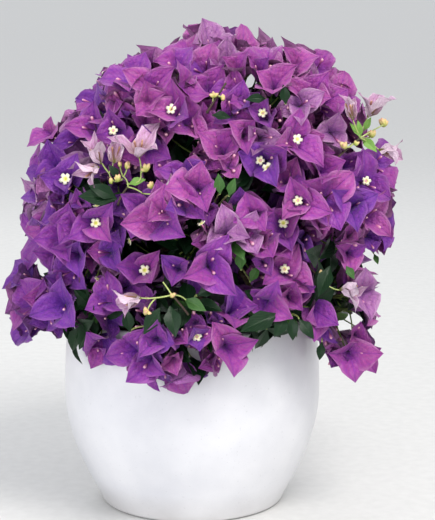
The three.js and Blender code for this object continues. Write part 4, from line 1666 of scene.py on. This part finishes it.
def growLeaves(sprays, crowd, leafFronts):
    rule, goesRule, facesRule = leafRule, leafRule["goes"], leafRule["faces"]
    draw = random.Random(rule["seed"])
    leaves = []
    for spray in sprays:
        stalk = spray["stalk"]
        ahead = unit(stalk[-1] - stalk[0])
        side = draw.random() * fullTurn
        for share in rule["places"]:
            share = min(rule["last"], share + between(draw, -rule["stray"], rule["stray"]))
            point = pointAlong(stalk, share)
            side += rule["turn"] + between(draw, -rule["turnStray"], rule["turnStray"])
            aside = turnedFrame(ahead, side)[:, 0]
            outwards = unit(point - core)
            scatter = scattered(draw, 1) * facesRule["scatter"]
            goes = aside * goesRule["aside"] + ahead * goesRule["ahead"] + outwards * goesRule["outwards"]
            goes = unit(goes + [0, 0, goesRule["rise"]])
            face = outwards * facesRule["outwards"] + [0, 0, facesRule["rise"]] + scatter
            turned = bladeFrame(goes, face)
            for size in (between(draw, *rule["size"]), *rule["smaller"]):
                leaf = {"at": point, "turned": turned, "size": size, "shape": draw.randrange(len(leafFronts))}
                points = bladePoints([leaf], leafFronts)
                if not fits(points, rule["margin"]) or inSky(points):
                    continue
                if crowd.hidesStar(points) or crowd.entered(points, point, rule["cup"]):
                    continue
                leaf["deep"] = float(ballDepths(point)[0])
                leaves.append(leaf)
                break
    return leaves


# Young sprays that stand out of the bloom, in columns and rows of the photograph: the woody twig that
# carries them, the lines of their stalks, small whorls (base, the way they point, how open, size),
# buds (place, count, size) and leaves (base, the way they point, size, kind). inset says how deep
# under the face of the crown a spray stands; below 0 it stands before it.
youngSprays = [
    {
        "inset": 6,
        "twig": [(118, 212), (122, 203), (128, 195)],
        "lines": [[(128, 195), (127, 189), (123, 184)], [(123, 185), (126, 180), (127, 176)],
                  [(123, 185), (121, 179), (120, 174)], [(123, 187), (114, 189), (109, 181)],
                  [(109, 181), (105, 176), (102, 171)], [(109, 181), (112, 176), (113, 171)],
                  [(128, 195), (135, 197), (142, 201)], [(142, 201), (147, 202), (153, 202)],
                  [(142, 201), (145, 198), (150, 196)], [(127, 192), (138, 190), (141, 182)],
                  [(141, 182), (141, 174), (139, 165)], [(141, 182), (142, 180), (145, 178)]],
        "whorls": [(101, 172, 108, 6, 0.8), (114, 171, 84, -6, 0.66), (139, 166, 88, 20, 0.96),
                   (153, 202, 2, 6, 0.8), (99, 175, 200, 2, 0.7)],
        "buds": [(127, 175, 4, 1.0), (120, 173, 3, 0.8), (146, 178, 4, 1.0), (111, 190, 3, 0.9),
                 (118, 188, 4, 0.9), (151, 195, 3, 0.9)],
        "leaves": [(129, 192, 12, 0.42, "fresh"), (117, 207, 178, 0.92, "dark"),
                   (116, 206, 158, 0.72, "dark"), (119, 186, 130, 0.4, "dark")],
    },
    {
        "inset": -8,
        "twig": [(334, 169), (346, 158), (360, 146)],
        "lines": [[(360, 146), (356, 136), (353, 128)], [(360, 146), (363, 135), (368, 125)],
                  [(360, 146), (372, 139), (383, 133)], [(360, 146), (366, 146), (371, 145)],
                  [(360, 146), (370, 151), (379, 158)], [(353, 152), (349, 155), (345, 155)]],
        "whorls": [(353, 128, 103, -10, 0.66), (368, 125, 62, 8, 0.9), (379, 158, 350, 6, 0.78)],
        "buds": [(384, 133, 5, 1.15), (372, 144, 4, 1.05), (345, 155, 4, 1.1), (356, 152, 2, 0.8)],
        "leaves": [(360, 146, 98, 0.8, "young"), (361, 146, 315, 1.05, "young"),
                   (364, 139, 62, 0.75, "young"), (359, 144, 128, 0.7, "young")],
    },
    {
        "inset": 14,
        "twig": [(188, 322), (180, 312), (172, 303)],
        "lines": [[(172, 303), (155, 306), (141, 306)], [(156, 306), (150, 313), (147, 320)],
                  [(172, 303), (168, 297), (163, 290)], [(172, 303), (180, 304), (186, 308)]],
        "whorls": [(141, 306, 190, 8, 0.78)],
        "buds": [(146, 321, 4, 1.0), (172, 304, 3, 0.8)],
        "leaves": [(184, 307, 330, 0.6, "green"), (170, 314, 280, 0.8, "dark"), (160, 316, 240, 0.8, "dark")],
    },
    {
        "inset": 12,
        "twig": [(310, 276), (317, 283), (324, 290)],
        "lines": [[(324, 290), (332, 296), (340, 298)], [(324, 290), (322, 287), (321, 284)]],
        "whorls": [(340, 297, 355, 4, 0.8)],
        "buds": [(321, 284, 3, 0.9)],
        "leaves": [(346, 274, 300, 0.4, "green"), (330, 274, 250, 0.8, "dark")],
    },
    {
        "inset": 6,
        "twig": [(207, 120), (215, 108), (226, 91)],
        "lines": [[(213, 111), (213, 107), (214, 104)], [(218, 104), (221, 105), (223, 107)]],
        "whorls": [],
        "buds": [(214, 104, 4, 0.9), (223, 107, 3, 0.8)],
        "leaves": [(212, 123, 352, 0.5, "dark")],
    },
]

# Leaves that show in openings and along the hem, and flowers seen from the side that lie in the
# openings: column, row, the way they point, and for a leaf its size and kind
leafPlaces = [
    (278, 322, 208, 1.0, "dark"), (262, 325, 250, 0.42, "green"), (292, 325, 272, 0.62, "dark"),
    (299, 327, 305, 0.62, "dark"), (287, 324, 240, 0.62, "dark"), (246, 320, 250, 0.7, "dark"),
    (322, 350, 262, 0.5, "dark"), (286, 112, 100, 0.5, "dark"), (266, 107, 185, 0.5, "dark"),
    (220, 202, 95, 0.5, "green"), (229, 204, 70, 0.45, "green"), (241, 278, 95, 0.5, "green"),
    (250, 290, 60, 0.5, "green"), (197, 304, 25, 0.65, "dark"), (130, 340, 100, 0.6, "dark"),
    (374, 262, 290, 0.3, "green"),
]
flowerPlaces = [(103, 197, 140), (96, 211, 100), (200, 229, 120), (127, 250, 200), (66, 219, 170),
                (79, 276, 90), (99, 285, 60)]


youngRule = {
    "seed": 7,
    "own": 0.5,  # how far each place keeps its own distance, and not the joint's
    "twig": (1.1, 0.85),
    "root": {"radii": (1.6, 1.1), "depth": 22},
    "stalk": {"radii": (0.8, 0.55), "forward": 2},
    "whorl": {"forward": 4, "towardsEye": 0.45},
    "bud": {"forward": 4, "sink": 2, "angles": (40, 140), "towardsEye": 0.6, "scatter": 0.7,
            "size": (0.75, 1.05)},
    "leaf": {"forward": 2, "towardsEye": 0.05, "rise": 0.3},
    "lone": {  # leaves and flowers in the openings, each with its stalk from the mass's middle
        "leafInset": 12,
        "leafDepth": 20,
        "leafRise": 6,
        "leafRadii": (1.0, 0.6),
        "flowerInset": 14,
        "flowerDepth": 20,
        "flowerTowards": 0.5,
        "flowerBack": 0.8,
        "flowerSize": 0.8,
        "flowerRadii": (0.9, 0.55),
    },
}


def through(start, middle, end, count=8):  # an arc that passes through the middle one
    return curved(start, 2 * middle - (start + end) / 2, end, count)


def pointedLeaf(place, angle, size, kind, draw):
    shape = youngLeafShapes if kind == "young" else leafShapes
    goes = inPlane(angle, youngRule["leaf"]["towardsEye"])
    turned = bladeFrame(goes, -viewAhead + viewUp * youngRule["leaf"]["rise"])
    return kind, {"at": place, "turned": turned, "size": size, "shape": draw.randrange(shape["count"])}


def growYoungSpray(spray, made, youngFronts, draw):
    joint = crownNear(*spray["twig"][-1], spray["inset"])
    jointFar = np.linalg.norm(joint - eye)

    def spot(column, row, forward=0.0):
        far = np.linalg.norm(crownNear(column, row, spray["inset"]) - eye)
        far = (1 - youngRule["own"]) * jointFar + youngRule["own"] * far
        return eye + rayThrough(column, row) * (far - forward)

    foot, middle, top = (spot(*place) for place in spray["twig"])
    made["woody"].append(strand(through(foot, middle, top), youngRule["twig"]))
    root = youngRule["root"]
    owner = masses[ownerOf(joint)]
    rooted = curved(owner["middle"], foot + viewAhead * root["depth"], foot, 9)
    made["woody"].append(strand(rooted, root["radii"]))
    for line in spray["lines"]:
        places = [spot(*place, youngRule["stalk"]["forward"] * k) for k, place in enumerate(line)]
        made["lines"].append(strand(through(*places), youngRule["stalk"]["radii"]))
    for column, row, angle, opened, size in spray["whorls"]:
        hub = spot(column, row, youngRule["whorl"]["forward"])
        axis = inPlane(angle, youngRule["whorl"]["towardsEye"])
        blades = whorl(hub, axis, draw.random() * sprayRule["spin"], opened, size, draw, youngFronts)
        made["whorls"].append({"hub": hub, "axis": axis, "blades": blades})
    rule = youngRule["bud"]
    for column, row, count, size in spray["buds"]:
        for _ in range(count):
            scatter = scattered(draw, rule["scatter"])
            axis = unit(inPlane(between(draw, *rule["angles"]), rule["towardsEye"]) + scatter)
            place = spot(column, row, rule["forward"]) - axis * rule["sink"]
            turned = turnedFrame(axis, draw.random() * 6)
            scale = size * between(draw, *rule["size"])
            made["buds"].append({"at": place, "turned": turned, "size": scale, "shape": 0})
    for column, row, *leaf in spray["leaves"]:
        made["leaves"].append(pointedLeaf(spot(column, row, youngRule["leaf"]["forward"]), *leaf, draw))


def growYoung(youngFronts):
    draw = random.Random(youngRule["seed"])
    made = {"lines": [], "woody": [], "whorls": [], "buds": [], "leaves": [], "flowers": []}
    for spray in youngSprays:
        growYoungSpray(spray, made, youngFronts, draw)
    rule = youngRule["lone"]
    for column, row, *leaf in leafPlaces:
        place = crownNear(column, row, rule["leafInset"])
        made["leaves"].append(pointedLeaf(place, *leaf, draw))
        stem = masses[ownerOf(place)]["middle"]
        bend = place + viewAhead * rule["leafDepth"] + viewUp * rule["leafRise"]
        made["lines"].append(strand(curved(stem, bend, place, 9), rule["leafRadii"]))
    for column, row, angle in flowerPlaces:
        place = crownNear(column, row, rule["flowerInset"])
        axis = inPlane(angle, rule["flowerTowards"])
        foot = place - axis * flowerShapes["tubeLength"] * rule["flowerBack"]
        turned = turnedFrame(axis, draw.random() * 6)
        shape = tubeKinds.index("openTube")
        made["flowers"].append({"at": foot, "turned": turned, "size": rule["flowerSize"], "shape": shape})
        stem = masses[ownerOf(place)]["middle"]
        bend = foot + viewAhead * rule["flowerDepth"]
        made["lines"].append(strand(curved(stem, bend, foot, 9), rule["flowerRadii"]))
    return made


# Pieces of the crown

def strandPiece(name, strands, tree, finish, sides):
    points, edges, thick = [], [], []
    for line, radius in strands:
        edges += [(len(points) + k, len(points) + k + 1) for k in range(len(line) - 1)]
        points += list(line)
        thick += list(radius)
    mesh = meshFrom(name + "_path", np.array(points) * mm, [], edges)
    layer = mesh.attributes.new("thickness", "FLOAT", "POINT")
    layer.data.foreach_set("value", np.array(thick) * mm)
    return grownPiece(name, addObject(name + "_path", mesh), tree, {"Sides": sides, "Finish": finish})


def quaternionOf(matrix):
    return tuple(Matrix(matrix.tolist()).to_quaternion())


def bladePiece(name, blades, shapes, tree, finish):
    mesh = meshFrom(name + "_points", np.array([b["at"] for b in blades]) * mm, [])
    turns = mesh.attributes.new("turn", "QUATERNION", "POINT")
    turns.data.foreach_set("value", np.array([quaternionOf(b["turned"]) for b in blades]).ravel())
    sizes = mesh.attributes.new("size", "FLOAT", "POINT")
    sizes.data.foreach_set("value", np.array([b["size"] for b in blades], float))
    kinds = mesh.attributes.new("shape", "INT", "POINT")
    kinds.data.foreach_set("value", [b["shape"] for b in blades])
    return grownPiece(name, addObject(name + "_points", mesh), tree, {"Shapes": shapes, "Finish": finish})


def massNames(kind=None):
    return [mass["name"] for mass in masses if kind in (None, mass["kind"])]


def settle(piece, nodes):
    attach(piece, "root")
    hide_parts(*nodes)


flowerRule = {
    "out": 0.6,  # from the whorl's axis to a tube's foot
    "lean": (0.4, 0.95),  # how far closed tubes lean out
    "openLean": 0.3,  # and open ones, where a whorl has more than one
    "size": (0.72, 1.0),
    "swollen": 0.3,
    "starSize": (0.8, 1.06),
    "towardsEye": 0.5,
    "young": {"out": 0.5, "lean": 0.25, "size": 0.86},
    "loneStar": 0.72,
}


def growFlowers(spray, draw, tubes, stars):
    rule = flowerRule
    for k, blade in enumerate(spray["blades"]):
        out = blade["turned"][:, 0]
        isOpen = k < spray["star"]
        openLean = rule["openLean"] if spray["star"] > 1 else 0
        lean = openLean if isOpen else between(draw, *rule["lean"])
        axis = unit(spray["axis"] + out * lean)
        turned = turnedFrame(axis, draw.random() * fullTurn)
        size = 1 if isOpen else between(draw, *rule["size"])
        kind = "openTube" if isOpen else "swollenTube" if draw.random() < rule["swollen"] else "tube"
        place = blade["at"] + out * rule["out"]
        tubes.append({"at": place, "turned": turned, "size": size, "shape": tubeKinds.index(kind)})
        if isOpen:  # one that is placed by pixel turns its face a little to where it is seen from
            face = unit(axis - viewAhead * rule["towardsEye"]) if "tint" in spray else axis
            place = place + (axis - face) * flowerShapes["tubeLength"]
            turned = turnedFrame(face, draw.random() * fullTurn)
            size = between(draw, *rule["starSize"])
            stars.append({"at": place, "turned": turned, "size": size, "shape": 0})


def sortBlades(sprays, leaves, draw):  # into tints and kinds, with the flowers of the outer whorls
    byTint = {name: [] for name in bractTints}
    byLeaf = {name: [] for name in leafTints}
    tubes, stars = [], []
    for spray in sprays:
        if spray["kind"] == "leaves":
            for blade in spray["blades"]:
                byLeaf["green" if draw.random() < leafRule["greenWhorls"] else "dark"].append(blade)
            continue
        inner = spray["layer"] == "inner"
        tint = spray.get("tint") or tintOf(spray["hub"], draw, inner)
        for blade in spray["blades"]:
            byTint[besideTint(tint, draw)].append(blade)
        if not inner:
            growFlowers(spray, draw, tubes, stars)
    for leaf in leaves:
        value = draw.random()
        isFresh = value < leafRule["fresh"] and leaf["deep"] < leafRule["freshDepth"]
        byLeaf["fresh" if isFresh else "green" if value < leafRule["green"] else "dark"].append(leaf)
    return byTint, byLeaf, tubes, stars


def youngFlowers(young, draw):
    rule = flowerRule["young"]
    tubes = []
    for small in young["whorls"]:
        for blade in small["blades"]:
            out = blade["turned"][:, 0]
            turned = turnedFrame(unit(small["axis"] + out * rule["lean"]), draw.random() * 6)
            place = blade["at"] + out * rule["out"]
            tubes.append({"at": place, "turned": turned, "size": rule["size"], "shape": 0})
    return tubes


def makeCrown():
    bractBlades, bractFronts = bladeSet("bractShapes", bractShapes)
    leafBlades, leafFronts = bladeSet("leafShapes", leafShapes)
    youngBracts, youngFronts = bladeSet("youngBractShapes", youngBractShapes)
    youngBlades, _ = bladeSet("youngLeafShapes", youngLeafShapes)
    crowd = Crowd()
    placeByPixel(crowd, bractFronts)
    draw = random.Random(sprayRule["seed"])
    for layer in sprayLayers:
        fillLayer(crowd, layer, bractFronts, leafFronts, draw)
        print("sprays:", len(crowd.sprays))
    woody, green = growTwigs(crowd.sprays)
    leaves = growLeaves(crowd.sprays, crowd, leafFronts)
    print("leaves:", len(leaves))
    draw = random.Random(tintRule["seed"])
    byTint, byLeaf, tubes, stars = sortBlades(crowd.sprays, leaves, draw)
    young = growYoung(youngFronts)
    byTint["young"] = [blade for small in young["whorls"] for blade in small["blades"]]
    youngTubes = youngFlowers(young, draw)
    byLeaf["young"] = []
    for kind, leaf in young["leaves"]:
        byLeaf[kind].append(leaf)
    tubes += young["flowers"]
    stars += [{**flower, "size": flowerRule["loneStar"]} for flower in young["flowers"]]

    skin, onPoints = strandTree(), bladeTree()
    blossoms, crown = massNames("blossom"), massNames()
    settle(strandPiece("young_stalks", young["lines"], skin, youngStalkFinish(), 6), crown)
    settle(strandPiece("woody_twigs", woody + young["woody"], skin, twigFinish(), 7), crown)
    settle(strandPiece("green_stalks", green, skin, stalkFinish(), 5), crown)
    for name, tint in bractTints.items():
        shapes = youngBracts if name == "young" else bractBlades
        piece = bladePiece("bracts_" + name, byTint[name], shapes, onPoints, bractFinish(name, tint))
        settle(piece, blossoms)
    for name, tint in leafTints.items():
        piece = bladePiece("leaves_" + name, byLeaf[name], leafBlades, onPoints, leafFinish(name, tint))
        settle(piece, crown)
    finish = leafFinish("young", leafTints["fresh"])
    settle(bladePiece("young_leaves", byLeaf["young"], youngBlades, onPoints, finish), crown)

    def lathed(name, kinds):
        made = [smoothMesh(name, *lathe(flowerShapes[kind], flowerShapes["sides"])) for kind in kinds]
        return shapesCollection(name + "Shapes", made)

    tubeShapes = lathed("tube", tubeKinds)
    for name, some in (("flower", tubes), ("young", youngTubes)):
        piece = bladePiece(name + "_tubes", some, tubeShapes, onPoints, tubeFinish(name, tubeTints[name]))
        settle(piece, blossoms)
    piece = bladePiece("young_buds", young["buds"], lathed("bud", ["bud"]), onPoints, budFinish())
    settle(piece, blossoms)
    starShapes = shapesCollection("starShapes", [starMesh("star")])
    settle(bladePiece("flower_stars", stars, starShapes, onPoints, starFinish()), blossoms)
    print("stars:", len(stars), "tubes:", len(tubes))


# Pot and soil

def makePot():
    shape = potShape
    lip, lipHeight = shape["lipRadius"], shape["height"] - shape["lipRadius"]
    bevel, foot = shape["footBevel"], shape["footRadius"]
    footTop = float(potRadiusAt(bevel))
    profile = [(0, 0), (foot * 0.5, 0), (foot - bevel, 0)]
    for degrees in shape["bevelAngles"]:
        angle = math.radians(degrees)
        aside, up = math.sin(angle), 1 - math.cos(angle)
        profile.append((foot - bevel + (footTop - foot + bevel) * aside, bevel * up))
    for height in np.linspace(bevel, lipHeight, shape["steps"]):
        profile.append((float(potRadiusAt(height)), float(height)))
    lipMiddle = float(potRadiusAt(lipHeight)) - lip
    for degrees in shape["lipAngles"]:
        angle = math.radians(degrees)
        profile.append((lipMiddle + lip * math.cos(angle), lipHeight + lip * math.sin(angle)))
    for height in np.linspace(lipHeight, shape["floor"] + shape["innerRise"], shape["innerSteps"]):
        profile.append((float(potRadiusAt(height)) - shape["wall"], float(height)))
    profile += [(foot - shape["innerFoot"], shape["floor"]), (0, shape["floor"])]
    points, faces, _ = lathe(profile, shape["sides"])
    mesh = smoothMesh("pot_shell", points, faces)
    mesh.materials.append(glazeFinish())
    settle(addObject("pot_shell", mesh), ["pot"])


def soilMesh(draw):
    shape = soilShape
    wall = potShape["wall"]
    top = potShape["height"] - shape["drop"]
    edgeHeight = top - shape["slope"]
    edge = float(potRadiusAt(edgeHeight)) - wall - shape["gap"]
    bottom = float(potRadiusAt(shape["bottom"])) - wall - shape["gap"]
    profile = [(0, shape["bottom"]), (bottom, shape["bottom"]), (edge, edgeHeight)]
    for k in range(1, shape["rings"]):
        radius = edge * (1 - k / shape["rings"])
        share = max(0, (radius - shape["flatRadius"]) / (edge - shape["flatRadius"]))
        profile.append((radius, top - shape["slope"] * share))
    profile.append((0, top))
    points, faces, _ = lathe(profile, shape["sides"])
    waves = []
    for _ in range(shape["waves"]):
        waves.append((between(draw, -0.5, 0.5), between(draw, -0.5, 0.5), between(draw, 0, fullTurn)))
    calmFrom, calmTo = shape["calm"]
    for point in points:
        aside = math.hypot(point[0], point[1])
        if point[2] > edgeHeight - 0.01 and aside < edge - 1:
            bump = sum(math.sin(a * point[0] + b * point[1] + c) for a, b, c in waves) / 5.1
            grown = min(1, max(0, aside - calmFrom) / (calmTo - calmFrom))
            point[2] += shape["relief"] * bump * grown
    return smoothMesh("soil_bed", points, faces), edge


def crumbMesh(name, draw):  # a lumpy octahedron
    corners = [(1, 0, 0), (-1, 0, 0), (0, 1, 0), (0, -1, 0), (0, 0, 1), (0, 0, -1)]
    lumps = [[axis * between(draw, *soilShape["crumbLumps"]) for axis in corner] for corner in corners]
    sides = [(0, 2, 4), (2, 1, 4), (1, 3, 4), (3, 0, 4), (2, 0, 5), (1, 2, 5), (3, 1, 5), (0, 3, 5)]
    return meshFrom(name, np.array(lumps) * mm, sides)


def makeSoil():
    shape = soilShape
    draw = random.Random(shape["seed"])
    mesh, edge = soilMesh(draw)
    mesh.materials.append(soilFinish("soil_bed", 1.0))
    crumbs = [crumbMesh(f"crumb_{k}", draw) for k in range(shape["crumbKinds"])]
    piece = grownPiece("soil_crumbs", addObject("soil_copy", mesh.copy()), crumbTree(), {
        "Shapes": shapesCollection("crumbShapes", crumbs),
        "Density": shape["crumbs"] / (math.pi * (edge * mm) ** 2),
        "Smallest": shape["crumbSize"][0] / 2,
        "Biggest": shape["crumbSize"][1] / 2,
        "Seed": shape["seed"],
        "Finish": soilFinish("soil_crumbs", shape["crumbLight"]),
    })
    settle(addObject("soil_bed", mesh), ["soil"])
    settle(piece, ["soil"])


# Stage

studio = {
    "aim": (0.02, 0, 0.27),
    "floorSize": 60,
    "floorColour": srgb(214, 214, 212),
    "worldColour": srgb(236, 238, 242),
    "worldStrength": 1.0,
    "key": {"place": (0.8, -1.3, 2.2), "size": 1.0, "watts": 44, "colour": (1.0, 0.97, 0.93)},
    "fill": {"place": (-1.0, -2.0, 0.36), "size": 1.5, "watts": 26, "colour": (0.96, 0.96, 1.0)},
    "back": {"place": (-0.4, 1.7, 1.5), "size": 1.2, "watts": 6, "colour": (1, 1, 1)},
}


def makeStage():
    half = studio["floorSize"] / 2
    corners = [(-half, -half, 0), (half, -half, 0), (half, half, 0), (-half, half, 0)]
    mesh = meshFrom("floor", corners, [(0, 1, 2, 3)])
    finish = Finish("floor", studio["floorColour"], 0.6)
    soft = finish.noise(finish.objectPlace(), 90, 2)
    finish.set("Base Color", finish.ramp(soft, [(0.3, srgb(211, 211, 209)), (0.7, srgb(217, 217, 215))]))
    mesh.materials.append(finish.material)
    addObject("floor", mesh)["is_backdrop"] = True
    world = bpy.data.worlds.new("studio")
    world.use_nodes = True
    backdrop = world.node_tree.nodes["Background"]
    backdrop.inputs[0].default_value = studio["worldColour"]
    backdrop.inputs[1].default_value = studio["worldStrength"]
    bpy.context.scene.world = world
    for name in ("key", "fill", "back"):
        rule = studio[name]
        lamp = bpy.data.lights.new(name, "AREA")
        lamp.size = rule["size"]
        lamp.energy = rule["watts"]
        lamp.color = rule["colour"]
        light = bpy.data.objects.new(name, lamp)
        bpy.context.scene.collection.objects.link(light)
        place = np.array(rule["place"])
        turned = turnedFrame(unit(place - studio["aim"]), 0)
        light.matrix_world = Matrix([[*turned[k], place[k]] for k in range(3)] + [[0, 0, 0, 1]])


def makeCamera():
    lens = bpy.data.cameras.new("camera")
    lens.sensor_width = picture["sensor"]
    lens.lens = picture["sensor"] * picture["distance"] / (picture["height"] * picture["perPixel"])
    camera = bpy.data.objects.new("camera", lens)
    bpy.context.scene.collection.objects.link(camera)
    place = eye * mm
    rows = [[viewRight[k], viewUp[k], -viewAhead[k], place[k]] for k in range(3)]
    camera.matrix_world = Matrix(rows + [[0, 0, 0, 1]])
    bpy.context.scene.camera = camera


makeStage()
makeCamera()
print("stage and camera stand")
makePot()
makeSoil()
print("pot and soil stand")
limbs = growLimbs()
bark = makeBark(limbs)
settle(bark, [limb["name"] for limb in limbs])
print("limbs grown:", len(limbs))
makeCrown()
bpy.context.scene.view_settings.view_transform = "Standard"

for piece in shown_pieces():
    print(piece.name, len(piece.data.polygons))
